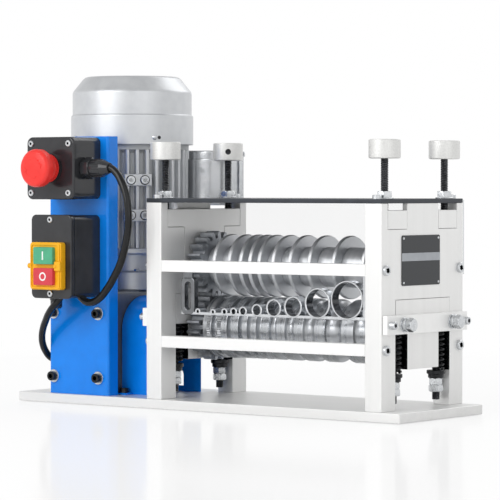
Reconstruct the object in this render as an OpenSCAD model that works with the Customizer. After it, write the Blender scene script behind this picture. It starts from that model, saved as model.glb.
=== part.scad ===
// Motor-driven bench wire stripper: a blade roller over a grooved feed roller in a two-plate frame.
// Origin at the centre of the base plate's underside, +X along the rollers, -Y towards the operator, +Z up.

/* [Base plate] */
// Length of the base plate
base_l = 500; // [496:1:540]
// Depth of the base plate
base_d = 150; // [148:1:180]
// Thickness of the base plate
base_t = 10; // [8:0.5:14]

/* [End plates and bars] */
// Thickness of each end plate
plate_t = 20; // [19:0.5:24]
// Depth of each end plate
plate_d = 146; // [144:1:148]
// Height of each end plate
plate_h = 205.5; // [204:0.5:216]
// Clear width between the end plates
frame_in = 259; // [257:1:262]
// Distance from the base's right end to the right end plate
right_inset = 23; // [20:1:26]
// Width of the window for the lower bearing block
window_w = 97; // [96:0.5:100]
// Height of the window above the base
window_h = 110; // [108:0.5:111]
// Thickness of the top plate
top_t = 4.5; // [3:0.5:6]
// Depth of a tie bar
bar_d = 14; // [13:0.5:15]
// Height of a tie bar
bar_h = 12; // [10:0.5:14]
// Height of the lower tie bars above the base
low_bar_h = 60.5; // [56:0.5:62]
// Height of the upper tie bars above the base
high_bar_h = 139.5; // [138:0.5:144]
// Radius of the frame screws
screw_r = 3; // [2.5:0.1:3.2]
// Radius of the frame screws' heads
screw_head_r = 5.2; // [4.8:0.1:5.6]
// Height of the frame screws' heads
screw_head_h = 3; // [2:0.5:5]
// Thickness of the clear rear guard
rear_guard_t = 2.4; // [1.5:0.1:4]
// Height of the clear rear guard
rear_guard_h = 76; // [60:1:78]

/* [Rollers] */
// Height of the feed roller's axis above the base
feed_h = 74.5; // [73:0.5:76]
// Radius of the feed roller
feed_r = 32.5; // [31:0.5:33]
// Depth of a wire groove in the feed roller
groove_depth = 5; // [2:0.5:8]
// Rounding of the groove edges
groove_edge = 1.2; // [0.4:0.1:1.5]
// Radius of a blade disc
blade_r = 32.5; // [31:0.5:33.5]
// Thickness of a blade disc
blade_t = 5; // [3:0.5:6]
// Width of the ground cutting edge on a blade disc
blade_edge = 1; // [0.5:0.1:2]
// Radius of the spacers between the blade discs
spacer_r = 20.6; // [18:0.2:24]
// Radius of the roller shafts under the discs and gears
shaft_r = 15; // [12:0.5:16]
// Radius of the roller shafts' ends
journal_r = 10; // [8:0.5:10.5]
// Outer radius of a roller bearing
bearing_r = 21; // [18:0.5:22]
// Width of a roller bearing
bearing_w = 12; // [8:0.5:12]
// Tooth size of the roller gears
gear_module = 3.25; // [3.2:0.01:3.3]
// Teeth on each roller gear
gear_teeth = 20; // [20:1:20]
// Width of the roller gears
gear_w = 16; // [10:0.5:17]
// Side play between the gear teeth
gear_play = 0.5; // [0.3:0.1:0.8]

/* [Blade height adjustment] */
// Depth of the blade carrier in the end plate
carrier_t = 14; // [13.5:0.1:14.5]
// Width of the blade carrier's stem
stem_w = 68; // [60:1:76]
// How far the blade carrier's ears stay inside the end plate's front and back edges
head_in = 11.3; // [11:0.1:13]
// Width of one ear
ear_w = 33.4; // [28:0.2:36]
// Height of the ears
ear_h = 18.5; // [16:0.5:20]
// Height of the ears' underside above the base
ear_z = 180; // [178:0.5:181]
// Distance of an adjusting screw from the end plate's front or back edge
adjuster_in = 19.5; // [18:0.5:23]
// Radius of an adjusting screw
adjuster_r = 3.9; // [3:0.1:4.5]
// Radius of an adjusting knob
knob_r = 16; // [12:0.5:19]
// Height of an adjusting knob
knob_h = 19; // [14:0.5:24]
// Height of the knobs' undersides above the top plate
knob_lift = 40; // [30:1:50]
// Width across the corners of a lock nut
lock_nut_w = 16; // [13:0.5:18]
// Height of a lock nut
lock_nut_h = 6.5; // [4:0.5:8]

/* [Sprung lower blocks] */
// Height of the shoulders' underside above the base
shoulder_z = 78; // [77:0.5:80]
// Width of the tongue below the shoulders
tongue_w = 56; // [52:0.5:58]
// Height of the tongue's underside above the base
tongue_z = 40; // [38:0.5:44]
// Thickness of a crossbar
crossbar_t = 6; // [4:0.5:7]
// Height of a crossbar
crossbar_h = 19; // [16:0.5:20]
// How far a crossbar's ends stay inside the end plate's front and back edges
crossbar_in = 1; // [0:0.5:3]
// Distance of a crossbar bolt from the middle
crossbar_bolt_y = 43; // [42:0.5:44]
// Width across the corners of a crossbar bolt's head
crossbar_bolt_w = 14.4; // [12:0.2:15]
// Distance of a crossbar end screw from the crossbar's end
end_screw_in = 6; // [5:0.5:10]
// Distance of a spring stud from the middle
stud_y = 38.5; // [38:0.25:39]
// Radius of a spring stud
stud_r = 4; // [3:0.1:4]
// Height of the studs' lower ends above the base
stud_tip = 6; // [3:0.5:8]
// Height of the springs' lower ends above the base
spring_z = 36; // [34:0.5:38]
// Outer radius of a spring
spring_r = 9; // [8:0.25:9.5]
// Thickness of the spring wire
spring_wire = 3; // [2:0.1:3.4]
// Turns in a spring
spring_turns = 8; // [6:1:9]
// Width across the corners of a stud nut
stud_nut_w = 15; // [13:0.5:16]
// Height of a stud nut
stud_nut_h = 7; // [5:0.5:7.5]
// Thickness of a spring seat washer
seat_t = 4; // [2:0.5:4]

/* [Wire guide] */
// Thickness of the guide's strip
strip_t = 3; // [2:0.5:4]
// Depth of the guide's strip
strip_d = 11.7; // [9:0.1:12]
// Height of the strip's top above the base
strip_z = 92; // [90:0.5:93]
// Wall of a guide tube
tube_wall = 2; // [1:0.1:2.4]
// Widths of the guide's left and right end tabs
tab_w = [18, 11]; // [10:0.5:20]
// Thickness of a guide's end tab
tab_t = 3; // [2:0.5:4]
// Width of the slot in an end tab
tab_slot = 6.5; // [5.2:0.1:7]

/* [Gearbox and coupling] */
// Distance from the left end plate to the motor's axis
drive_gap = 105; // [104:1:107]
// Tooth size of the worm wheel
worm_module = 1.4; // [1.38:0.01:1.42]
// Teeth on the worm wheel
wheel_teeth = 30; // [30:1:30]
// Pitch radius of the worm
worm_r = 9; // [8.8:0.1:9.2]
// Starts on the worm
worm_starts = 2; // [2:1:2]
// Length of the worm's thread
worm_l = 32; // [24:1:34]
// Width of the worm wheel's teeth
wheel_w = 6; // [4:0.5:6]
// Radius of the output shaft
output_r = 9; // [7:0.5:10]
// Width of the gearbox along the rollers
gearbox_w = 75; // [72:1:76]
// Depth of the gearbox in front of the output shaft
gearbox_front = 51; // [44:1:54]
// Depth of the gearbox behind the output shaft
gearbox_back = 62; // [58:1:66]
// Height of the gearbox above the base
gearbox_h = 110; // [109:0.5:112]
// Thickness of the gearbox cover
cover_t = 8; // [7:0.5:10]
// Radius of a coupling hub
hub_r = 20; // [18:0.5:22]
// Thickness of a coupling hub's disc
hub_t = 9; // [6:0.5:10]
// Length of the coupling jaws
jaw_l = 8; // [5:0.5:8]
// Length of the coupling guard
guard_l = 50; // [46:1:52]
// Radius of the coupling guard's arch
guard_r = 37; // [34:0.5:38]
// Height of the coupling guard
guard_h = 104.7; // [103:0.1:107]
// Thickness of the coupling guard's sheet
guard_t = 2; // [1.5:0.1:3]

/* [Motor] */
// Radius of the motor over its fins
fin_r = 63; // [60:0.5:64]
// Radius of the motor's round body under the fins
body_r = 56; // [54:0.5:58]
// Bore of the motor's body
bore_r = 52; // [48:0.5:53]
// Cooling fins round the motor
fin_count = 36; // [24:4:40]
// Thickness of a cooling fin
fin_t = 2.4; // [2:0.1:3.2]
// Height of the motor's flange and end shield
shield_h = 45.7; // [42:0.1:50]
// Radius of the motor's flange
flange_r = 52; // [48:0.5:56]
// Thickness of the motor's flange
flange_t = 20.5; // [14:0.5:24]
// Radius of the end shield's neck
neck_r = 46; // [40:0.5:48]
// Height of the finned body
body_h = 111.9; // [108:0.1:116]
// Radius of the fan cowl's skirt
cowl_r = 67; // [66.5:0.1:70]
// Radius of the fan cowl's upper band
cowl_band_r = 65.3; // [64:0.1:66]
// Radius of the fan cowl's flat top
cowl_top_r = 50.4; // [46:0.2:56]
// Height of the fan cowl's skirt
cowl_skirt_h = 32.4; // [28:0.2:36]
// Height of the fan cowl's upper band
cowl_band_h = 26; // [22:0.5:30]
// Height of the fan cowl's sloping rim
cowl_slope_h = 16; // [10:0.5:20]
// Wall of the fan cowl
cowl_wall = 2; // [1.5:0.1:2.4]
// Radius of the motor shaft
motor_shaft_r = 7; // [5:0.5:8]
// Radius of the rotor
rotor_r = 30; // [24:0.5:34]
// Length of the rotor
rotor_l = 55; // [40:1:64]
// Depth of the mounting pads on the motor
pad_depth = 5; // [3:0.5:6]
// Height of the mounting pads on the motor
pad_h = 13; // [8:0.5:16]
// Width of the mounting pads on the motor
pad_w = 30; // [20:1:36]
// Width of the terminal box
terminal_w = 62; // [50:1:70]
// Height of the terminal box
terminal_h = 66; // [50:1:68]
// Reach of the terminal box from the motor's axis
terminal_reach = 103; // [98:1:108]
// Thickness of the terminal box's cover
terminal_cover_t = 17; // [12:0.5:20]

/* [Control panel] */
// Width of the control panel
panel_w = 83; // [80:0.5:86]
// Height of the control panel
panel_h = 275.5; // [275:0.5:282]
// Thickness of the control panel's sheet
panel_t = 3; // [2:0.5:4]
// Depth of the control panel's side flanges
panel_flange = 16; // [10:0.5:15.8]
// Distance of the panel's face from the rollers' middle
panel_y = 70; // [69:0.5:72]
// Distance of the panel's left edge from the motor's axis
panel_left = 33; // [32:0.5:35]
// Width of the emergency stop box
estop_w = 66; // [64:0.5:70]
// Depth of the emergency stop box with its lid
estop_d = 44; // [40:0.5:50]
// Thickness of the emergency stop box's lid
estop_lid_t = 9; // [7:0.5:12]
// Radius of the emergency stop button
estop_r = 20; // [17:0.5:22]
// Radius of the collar behind the button
collar_r = 15; // [14:0.5:16]
// Reach of the collar in front of the lid
collar_h = 9; // [6:0.5:10]
// Travel of the emergency stop button
estop_travel = 5; // [3:0.5:6]
// Gap between the emergency stop box and the switch box
switch_gap = 16; // [12:0.5:20]
// Width of the switch box
switch_w = 56; // [54:0.5:60]
// Height of the switch box
switch_h = 88.5; // [86:0.5:90]
// Depth of the switch box
switch_d = 47; // [40:0.5:50]
// Wall of both boxes
box_wall = 3; // [2:0.5:3.5]
// Rounding of the boxes' corners
box_round = 6; // [4:0.5:7]
// Width of the yellow switch frame
switch_frame_w = 43; // [41:0.5:46]
// Height of the yellow switch frame
switch_frame_h = 50; // [48:0.5:54]
// Thickness of the yellow switch frame
switch_frame_t = 8; // [5:0.5:9]
// Width of a push button
button_w = 27; // [22:0.5:28]
// Height of a push button
button_h = 18; // [14:0.5:18.5]
// Reach of a push button in front of its frame
button_out = 4.5; // [4:0.5:6]
// Radius of the emergency stop lead
estop_cord_r = 4; // [3:0.25:4.5]
// Radius of the motor lead
motor_cord_r = 3.75; // [3:0.25:4.5]

/* [Clearances] */
// Gap between pieces that slide past each other
slide_gap = 0.3; // [0.2:0.05:0.4]
// Radial gap of a shaft that turns in a hole
run_gap = 0.06; // [0.03:0.01:0.08]
// Radial gap of a piece that is fixed in a hole
fit_gap = 0.02; // [0.01:0.01:0.04]

/* [Hidden] */
$fn = 64;
// Overlap that makes a cut run clear through
cut = 1;

// Colours
alu = "#d7d7d7";
bright = "#eeeeee";
steel = "#b4b8bc";
zinc = "#c4c8cc";
black_steel = "#1f2022";
dark_plate = "#3d434c";
blue = "#1d6fe8";
motor_paint = "#c8cacb";
black_plastic = "#3a3b3d";
signal_red = "#f4443e";
signal_yellow = "#f0b41e";
signal_green = "#4fae85";
bronze = "#b08d57";
copper = "#a86a3d";
clear = "#dfe9ee";
contact_grey = "#55585c";

// Places of the blade discs from the left end plate, the guide tubes' outer diameters in front of them and
// the widths of the wire grooves under them
blade_at = [37, 57, 72, 84, 96, 114, 135.5, 160, 190.5, 227];
tube_od = [7, 7, 8, 9, 10.5, 13.5, 19, 22.5, 31.5, 39.5];
groove_w = [6, 5, 5, 6, 6.5, 9, 11, 14, 20, 22];
groove_lean = 0.3;

// Places along the machine
top_z = base_t + plate_h;
x_right_in = base_l/2 - right_inset - plate_t;
x_left_in = x_right_in - frame_in;
x_left_out = x_left_in - plate_t;
x_right_out = x_right_in + plate_t;
window_top = base_t + window_h;
roller_end_gap = 4;
drum_gap = 2;
shaft_step = 2;
feed_z = base_t + feed_h;
roller_distance = gear_module*gear_teeth;
blade_z = feed_z + roller_distance;
gear_x = x_left_in + roller_end_gap;
disc_x = [for (a = blade_at) x_left_in + a];
drum_left = gear_x + gear_w + drum_gap;
drum_right = x_right_in - roller_end_gap;
drum_core_r = feed_r - groove_depth;
bar_y = plate_d/2 - bar_d/2;
bar_z = [base_t + low_bar_h, base_t + high_bar_h];
bar_grip = 9;
top_screw_in = 6.5;
top_screw_y = plate_d/2 - top_screw_in;
top_screw_grip = 12;
top_screw_head_r = 4.7;
top_screw_head_h = 4;
screw_end_gap = 1;
key_share = 1.8;
rear_guard_over = 3;

// Blade carriers in their pockets
pocket_d = carrier_t + slide_gap;
head_z = base_t + ear_z;
head_top = head_z + ear_h;
stem_below = 24;
stem_z = blade_z - stem_below;
head_w = plate_d - 2*head_in;
ear_mid = head_w/2 - ear_w/2;
adjuster_y = plate_d/2 - adjuster_in;
adjuster_grip = 13;
knob_z = top_z + top_t + knob_lift;
knob_edge = 1;
knob_hole_r = 2.5;
knob_hole_wall = 2;
adjuster_in_knob = 11.4;
bearing_inset = 0.5;

// Lower blocks, crossbars and springs
seat_z = base_t + shoulder_z;
block_top = window_top - slide_gap;
block_w = window_w - 2*slide_gap;
crossbar_drop = 2;
crossbar_z = seat_z - crossbar_drop;
crossbar_mid_z = crossbar_z + crossbar_h/2;
crossbar_bolt_r = 3;
crossbar_bolt_grip = 4.5;
crossbar_bolt_h = 6.5;
crossbar_collar_r = 6;
crossbar_collar_h = 5.5;
crossbar_l = plate_d - 2*crossbar_in;
end_screw_y = crossbar_l/2 - end_screw_in;
end_screw_head_r = 4;
end_screw_head_h = 6;
stud_grip = 4;
stud_play = 0.6;
journal_play = 1;
spring_low = base_t + spring_z;
spring_high = seat_z;
washer_rim = 0.5;
washer_r = spring_r + washer_rim;
washer_step = 1.5;
second_nut_turn = 20;

// Wire guide
guide_front = -plate_d/2 + bar_d;
guide_z = base_t + strip_z;
function tube_z(i) = guide_z - strip_t + tube_od[i]/2;
guide_end = 15;
tab_below_bar = 1;
tab_top = bar_z[1] + bar_h/2 - tab_below_bar;
tab_slot_h = 46;
tab_slot_in = 2;
tab_end_gap = 1;
tab_screw_r = 2.5;
tab_screw_head_r = 4.5;
tab_screw_head_h = 4;
tab_screw_grip = 8;
tab_x = [x_left_in + guide_end + tab_w[0]/2, x_right_in - tab_end_gap - tab_w[1]/2];

// Drive line
motor_x = x_left_out - drive_gap;
wheel_r = worm_module*wheel_teeth/2;
motor_y = wheel_r + worm_r;
worm_pitch = PI*worm_module;
worm_lead = worm_pitch*worm_starts;
worm_depth = 1.4;
wheel_tip_clear = 0.5;
wheel_root_half = 58/wheel_teeth;
wheel_tip_half = 34/wheel_teeth;
gearbox_off = 35;
gearbox_left = motor_x - gearbox_off;
gearbox_right = gearbox_left + gearbox_w;
gearbox_top = base_t + gearbox_h;
cavity_gap = 8;
gear_cavity_r = wheel_r + cavity_gap;
cavity_end = 13;
worm_side_gap = 4;
worm_end_gap = 3;
cover_spigot = 6;
cover_lap = 5;
cover_r = gear_cavity_r + cover_lap;
output_end_gap = 3;
output_left = gearbox_left - cover_t + output_end_gap;
wheel_hub_wall = 5;
wheel_hub_r = output_r + wheel_hub_wall;
wheel_hub_w = 20;
jaw_angle = 50;
jaw_in = 9;
drive_hub_gap = 46;
drive_hub_x = x_left_out - drive_hub_gap;
hub_gap = 3;
feed_hub_x = drive_hub_x + 2*hub_t + jaw_l + hub_gap;
guard_gap = 14;
guard_x = x_left_out - guard_gap - guard_l;
guard_mid_z = base_t + guard_h - guard_r;
guard_foot = 12;
guard_foot_l = 16;
guard_hole_r = 7;
guard_hole_in = 18;
guard_hole_h = 30;
guard_hole_low = 6;

// Motor
shield_top = gearbox_top + shield_h;
body_top = shield_top + body_h;
ledge_h = 6;
ledge_r = fin_r - 1;
root_sink = 1;
fin_root_r = bore_r + root_sink;
web_h = 6;
spigot_h = 5;
cowl_z = body_top;
cowl_top = cowl_z + cowl_skirt_h + cowl_band_h + cowl_slope_h;
rotor_z = shield_top + (body_h - rotor_l)/2;
air_gap = 1;
stator_in = rotor_r + air_gap;
stator_over = 4;
pad_rise = [29, 67];
pad_turns = [135, 225, 315];
worm_low = feed_z - worm_l/2;
worm_high = feed_z + worm_l/2;
fan_rise = 8;
fan_z = body_top + spigot_h + fan_rise;
fan_gap = 6;
fan_r = cowl_band_r - cowl_wall - fan_gap;
fan_hub_wall = 7;
fan_hub_r = motor_shaft_r + fan_hub_wall;
fan_disc_t = 3;
fan_disc_in = 8;
fan_blade_t = 2.5;
fan_blade_sink = 2;
fan_blades = 8;
fan_h = 24;
vent_slots = 16;
vent_in = 14;
vent_edge = 6;
vent_w = 4;
terminal_turn = 45;
terminal_drop = 3;
terminal_z = body_top - terminal_h - terminal_drop;
terminal_rim = 3;
terminal_hollow = 20;

// Control panel and boxes
panel_x = motor_x - panel_left;
panel_top = base_t + panel_h;
bolt_in = [6.5, 14];
bolt_x = [panel_x + bolt_in[0], panel_x + panel_w - bolt_in[1]];
bolt_r = 3;
bolt_head_r = 5;
bolt_head_h = 5;
bolt_washer_r = 7;
bolt_washer_t = 1.2;
boss_r = 6.5;
bolt_grip = 14;
estop_from_left = 40;
estop_x = panel_x + estop_from_left;
estop_below_top = 1;
estop_mid_z = panel_top - estop_w/2 - estop_below_top;
estop_front = -panel_y - estop_d;
estop_lid_back = estop_front + estop_lid_t;
estop_stem_r = 8;
stem_wall = 3;
collar_fit_r = estop_stem_r + stem_wall;
estop_back_gap = 1;
estop_cap_y = estop_front - collar_h - estop_travel - estop_back_gap;
estop_cap_t = 13;
estop_dome = 4;
estop_cap_edge = 2;
estop_pin_r = 4;
estop_pin_l = 8;
plunger_end = 2;
corner_in = 7;
corner_post = 12;
box_screw_r = 1.8;
box_screw_head_r = 3.4;
box_screw_head_h = 1.6;
box_screw_grip = 10;
box_screw_short = 3;
switch_from_left = 44;
switch_x = panel_x + switch_from_left;
switch_z = estop_mid_z - estop_w/2 - switch_gap - switch_h;
bolt_rise = 18.5;
bolt_below_switch = 17;
bolt_below_gearbox = 23;
bolt_z = [base_t + bolt_rise, min(switch_z - bolt_below_switch, gearbox_top - bolt_below_gearbox)];
switch_front = -panel_y - switch_d;
switch_screw_in = 5.2;
switch_screw_z = [switch_z + switch_screw_in, switch_z + switch_h - switch_screw_in];
switch_frame_drop = 9.8;
switch_frame_z = switch_z + switch_h/2 - switch_frame_drop;
switch_frame_shift = 1;
switch_frame_x = switch_x - switch_frame_shift;
switch_frame_round = 3;
button_pitch = 22;
button_mid = [switch_frame_z + button_pitch/2, switch_frame_z - button_pitch/2];
button_travel = 3;
button_flange = 1.5;
button_flange_t = 2.5;
button_base = 3;
button_tail = 6;
button_tail_w = 6;
opening_play = 2;
switch_opening_w = button_w + 2*button_flange + opening_play;
switch_opening_h = button_pitch + button_h + 2*button_flange + opening_play;
contact_gap = 1;
contact_w = 30;
contact_h = 44;
estop_contact_w = 28;
gland_r = 10.5;
gland_l = 36;
gland_nut = 11;
gland_flat = 1;
gland_wall = 1.5;
gland_dome = 9;
gland_end_gap = 2;
gland_hole_r = 7.5;
estop_gland_out = 25;
estop_gland_y = -panel_y - estop_gland_out;
inlet_r = 7;
inlet_l = 12;
inlet_shift = 20;
inlet_x = switch_x - inlet_shift;
inlet_out = 16;
inlet_y = -panel_y - inlet_out;
motor_gland_rise = 9;
motor_gland_z = gearbox_top + flange_t + motor_gland_rise;
motor_gland_turn = 198;
motor_gland_l = 10;

// Routes of the two leads, chosen point by point
estop_cord_route = [[-112, -95, 251.5], [-103, -95, 251.5], [-95, -95, 247], [-88, -95, 238], [-82, -95, 225],
    [-79, -95, 210], [-78, -95, 195], [-80, -95, 180], [-84, -95, 165], [-90, -95, 150], [-98, -95, 137],
    [-108, -95, 124], [-119, -95, 114], [-130, -95, 110], [-138, -95, 111.5], [-145, -95, 117]];
motor_cord_route = [[-168, -98, 117], [-172, -98.5, 111], [-179, -99, 104.5], [-188, -96, 97],
    [-197, -91, 88.5], [-205, -86, 80], [-211, -81, 71], [-215, -75, 62], [-217, -68, 54], [-218.5, -60, 48],
    [-220.5, -50, 45], [-223, -40, 47], [-226, -30, 55], [-229, -21, 68], [-232, -12, 84], [-235, -4, 102],
    [-238, 2, 118], [-240, 6, 132], [-239, 8, 142], [-235, 9, 148], [-227, 12, 150]];
cord_sides = 10;

// Vector helpers for swept tubes
function unit(v) = v/norm(v);
function tangent(p, i) = unit(p[min(i + 1, len(p) - 1)] - p[max(i - 1, 0)]);
function flat_part(v, t) = unit(v - t*(v*t));
function side_dirs(p, i, side) =
    i == len(p) ? [] :
    let (now = flat_part(side, tangent(p, i))) concat([now], side_dirs(p, i + 1, now));
function tube_points(p, r, sides, side) =
    let (dirs = side_dirs(p, 0, side))
    [for (i = [0:len(p) - 1], k = [0:sides - 1])
        let (a = 360*k/sides, u = dirs[i], v = cross(tangent(p, i), u)) p[i] + r*(cos(a)*u + sin(a)*v)];
function tube_faces(rings, sides) = concat(
    [for (i = [0:rings - 2], k = [0:sides - 1])
        [i*sides + k, i*sides + (k + 1)%sides, (i + 1)*sides + (k + 1)%sides]],
    [for (i = [0:rings - 2], k = [0:sides - 1])
        [i*sides + k, (i + 1)*sides + (k + 1)%sides, (i + 1)*sides + k]],
    [for (k = [1:sides - 2]) [0, k + 1, k]],
    [for (k = [1:sides - 2]) [(rings - 1)*sides, (rings - 1)*sides + k, (rings - 1)*sides + k + 1]]);

// Spring wire: one dead turn at each end and an even rise between
spring_rings = 8;
spring_sides = 6;
spring_mean_r = spring_r - spring_wire/2;
spring_rise = spring_high - spring_low - 2*slide_gap - spring_wire;
dead_gap = 0.6;
dead_rise = spring_wire + dead_gap;
live_turns = spring_turns - 2;
live_rise = (spring_rise - 2*dead_rise)/live_turns;
function spring_height(n) =
    n < 1 ? n*dead_rise : n > spring_turns - 1 ? spring_rise - (spring_turns - n)*dead_rise :
    dead_rise + (n - 1)*live_rise;
spring_path = [for (i = [0:spring_turns*spring_rings])
    let (n = i/spring_rings)
    [spring_mean_r*cos(360*n), spring_mean_r*sin(360*n), spring_wire/2 + spring_height(n)]];
spring_gap = min([for (i = [0:len(spring_path) - 1 - spring_rings])
    norm(spring_path[i + spring_rings] - spring_path[i])]) - spring_wire;
echo(least_gap_between_spring_turns = spring_gap);

// Gear outlines
pressure_angle = 20;
root_share = 1.25;
function roll(r, base) = tan(acos(base/r))*180/PI - acos(base/r);
function polar(r, a) = [r*cos(a), r*sin(a)];
function gear_outline(m, teeth, play) =
    let (pitch = m*teeth/2, base = pitch*cos(pressure_angle), tip = pitch + m, root = pitch - root_share*m,
        half = 90/teeth - play/(4*pitch)*180/PI,
        radii = [for (i = [0:4]) max(base, root) + i/4*(tip - max(base, root))],
        lean = [for (r = radii) half + roll(pitch, base) - roll(r, base)])
    [for (t = [0:teeth - 1]) let (a = 360*t/teeth) each concat(
        [polar(root, a - lean[0])], [for (i = [0:4]) polar(radii[i], a - lean[i])],
        [for (i = [4:-1:0]) polar(radii[i], a + lean[i])], [polar(root, a + lean[0])])];
function wheel_outline(teeth, root, tip, root_half, tip_half) =
    [for (t = [0:teeth - 1]) let (a = 360*t/teeth) each
        [polar(root, a - root_half), polar(tip, a - tip_half), polar(tip, a + tip_half),
            polar(root, a + root_half)]];

// Shapes that repeat
module block(low, high) {
    translate(low) cube(high - low);
}
module x_rod(x0, x1, r, y = 0, z = 0) {
    translate([x0, y, z]) rotate([0, 90, 0]) cylinder(h = x1 - x0, r = r);
}
module y_rod(y0, y1, r, x = 0, z = 0) {
    translate([x, y0, z]) rotate([-90, 0, 0]) cylinder(h = y1 - y0, r = r);
}
module z_rod(z0, z1, r, x = 0, y = 0) {
    translate([x, y, z0]) cylinder(h = z1 - z0, r = r);
}
module on_side(s) {
    translate([s < 0 ? x_left_in - plate_t/2 : x_right_in + plate_t/2, 0, 0])
        rotate([0, 0, s < 0 ? 180 : 0]) children();
}
module x_ring(x0, x1, r_out, r_in, z) {
    difference() {
        x_rod(x0, x1, r_out, z = z);
        x_rod(x0 - cut, x1 + cut, r_in, z = z);
    }
}
module round_box(low, high, r) {
    size = high - low;
    translate([low[0], high[1], low[2]]) rotate([90, 0, 0]) linear_extrude(size[1]) {
        translate([r, 0]) square([size[0] - 2*r, size[2]]);
        translate([0, r]) square([size[0], size[2] - 2*r]);
        for (x = [r, size[0] - r], z = [r, size[2] - r]) translate([x, z]) circle(r);
    }
}
module hex(w, h) {
    cylinder(h = h, d = w, $fn = 6);
}
module swept_tube(p, r, sides, side) {
    polyhedron(tube_points(p, r, sides, side), tube_faces(len(p), sides));
}

// Frame
module base_plate() {
    color(alu) block([-base_l/2, -base_d/2, 0], [base_l/2, base_d/2, base_t]);
}
module end_plate(s) {
    inner = -plate_t/2;
    color(alu) on_side(s) difference() {
        block([inner, -plate_d/2, base_t], [plate_t/2, plate_d/2, top_z]);
        block([inner - cut, -window_w/2, base_t - cut], [plate_t/2 + cut, window_w/2, window_top]);
        block([inner - cut, -stem_w/2 - slide_gap, stem_z - slide_gap],
            [inner + pocket_d, stem_w/2 + slide_gap, head_top]);
        block([inner - cut, -head_w/2 - slide_gap, head_z - slide_gap],
            [inner + pocket_d, head_w/2 + slide_gap, top_z + cut]);
        for (e = [-1, 1])
            block([inner, e*ear_mid - ear_w/2 - slide_gap, head_z - slide_gap],
                [plate_t/2 + cut, e*ear_mid + ear_w/2 + slide_gap, top_z + cut]);
        for (e = [-1, 1]) {
            z_rod(window_top - cut, window_top + stud_grip + fit_gap, stud_r + fit_gap, y = e*stud_y);
            z_rod(top_z - top_screw_grip, top_z + cut, screw_r + fit_gap, y = e*top_screw_y);
            for (z = bar_z) x_rod(inner - cut, plate_t/2 + cut, screw_r + fit_gap, e*bar_y, z);
        }
    }
}
module left_end_plate() {
    end_plate(-1);
}
module right_end_plate() {
    end_plate(1);
}
module tie_bars() {
    color(bright) for (e = [-1, 1], z = bar_z) difference() {
        block([x_left_in, e*bar_y - bar_d/2, z - bar_h/2], [x_right_in, e*bar_y + bar_d/2, z + bar_h/2]);
        x_rod(x_left_in - cut, x_left_in + bar_grip, screw_r + fit_gap, e*bar_y, z);
        x_rod(x_right_in - bar_grip, x_right_in + cut, screw_r + fit_gap, e*bar_y, z);
        if (e < 0 && z == bar_z[1]) for (x = tab_x)
            y_rod(-bar_y + bar_d/2 - tab_screw_grip, -bar_y + bar_d/2 + cut, tab_screw_r + fit_gap, x, z);
    }
}
module socket_screw(r, length, head_r, head_h) {
    difference() {
        union() {
            translate([0, 0, -length]) cylinder(h = length, r = r);
            cylinder(h = head_h, r = head_r);
        }
        translate([0, 0, head_h/2]) hex(key_share*r, head_h);
    }
}
module frame_screws() {
    color(zinc) {
        for (s = [-1, 1], e = [-1, 1]) on_side(s) {
            for (z = bar_z) translate([plate_t/2, e*bar_y, z]) rotate([0, 90, 0])
                socket_screw(screw_r, plate_t + bar_grip - screw_end_gap, screw_head_r, screw_head_h);
            translate([0, e*top_screw_y, top_z + top_t])
                socket_screw(screw_r, top_t + top_screw_grip - screw_end_gap, top_screw_head_r,
                    top_screw_head_h);
        }
        for (x = tab_x) translate([x, guide_front + tab_t, bar_z[1]]) rotate([-90, 0, 0])
            socket_screw(tab_screw_r, tab_t + tab_screw_grip - screw_end_gap, tab_screw_head_r,
                tab_screw_head_h);
    }
}
module top_plate() {
    color(dark_plate) difference() {
        block([x_left_out, -plate_d/2, top_z], [x_right_out, plate_d/2, top_z + top_t]);
        for (s = [-1, 1], e = [-1, 1]) on_side(s) {
            z_rod(top_z - cut, top_z + top_t + cut, adjuster_r + slide_gap, y = e*adjuster_y);
            z_rod(top_z - cut, top_z + top_t + cut, screw_r + fit_gap, y = e*top_screw_y);
        }
    }
}
module lock_nuts() {
    color(zinc) for (s = [-1, 1], e = [-1, 1]) on_side(s)
        translate([0, e*adjuster_y, top_z + top_t]) difference() {
            hex(lock_nut_w, lock_nut_h);
            z_rod(-cut, lock_nut_h + cut, adjuster_r + run_gap);
        }
}
module rear_guard() {
    top = top_z + rear_guard_over;
    color(clear) block([x_left_out, plate_d/2, top - rear_guard_h],
        [x_right_out, plate_d/2 + rear_guard_t, top]);
}
module wire_guide() {
    color(steel) difference() {
        union() {
            block([tab_x[0] - tab_w[0]/2, guide_front, guide_z - strip_t],
                [tab_x[1] + tab_w[1]/2, guide_front + strip_d, guide_z]);
            for (i = [0, 1])
                block([tab_x[i] - tab_w[i]/2, guide_front, guide_z - strip_t],
                    [tab_x[i] + tab_w[i]/2, guide_front + tab_t, tab_top]);
            for (i = [0:len(disc_x) - 1])
                y_rod(guide_front, guide_front + strip_d, tube_od[i]/2, disc_x[i], tube_z(i));
        }
        for (i = [0:len(disc_x) - 1])
            y_rod(guide_front - cut, guide_front + strip_d + cut, tube_od[i]/2 - tube_wall, disc_x[i],
                tube_z(i));
        for (x = tab_x) block([x - tab_slot/2, guide_front - cut, tab_top - tab_slot_in - tab_slot_h],
            [x + tab_slot/2, guide_front + tab_t + cut, tab_top - tab_slot_in]);
    }
}

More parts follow.
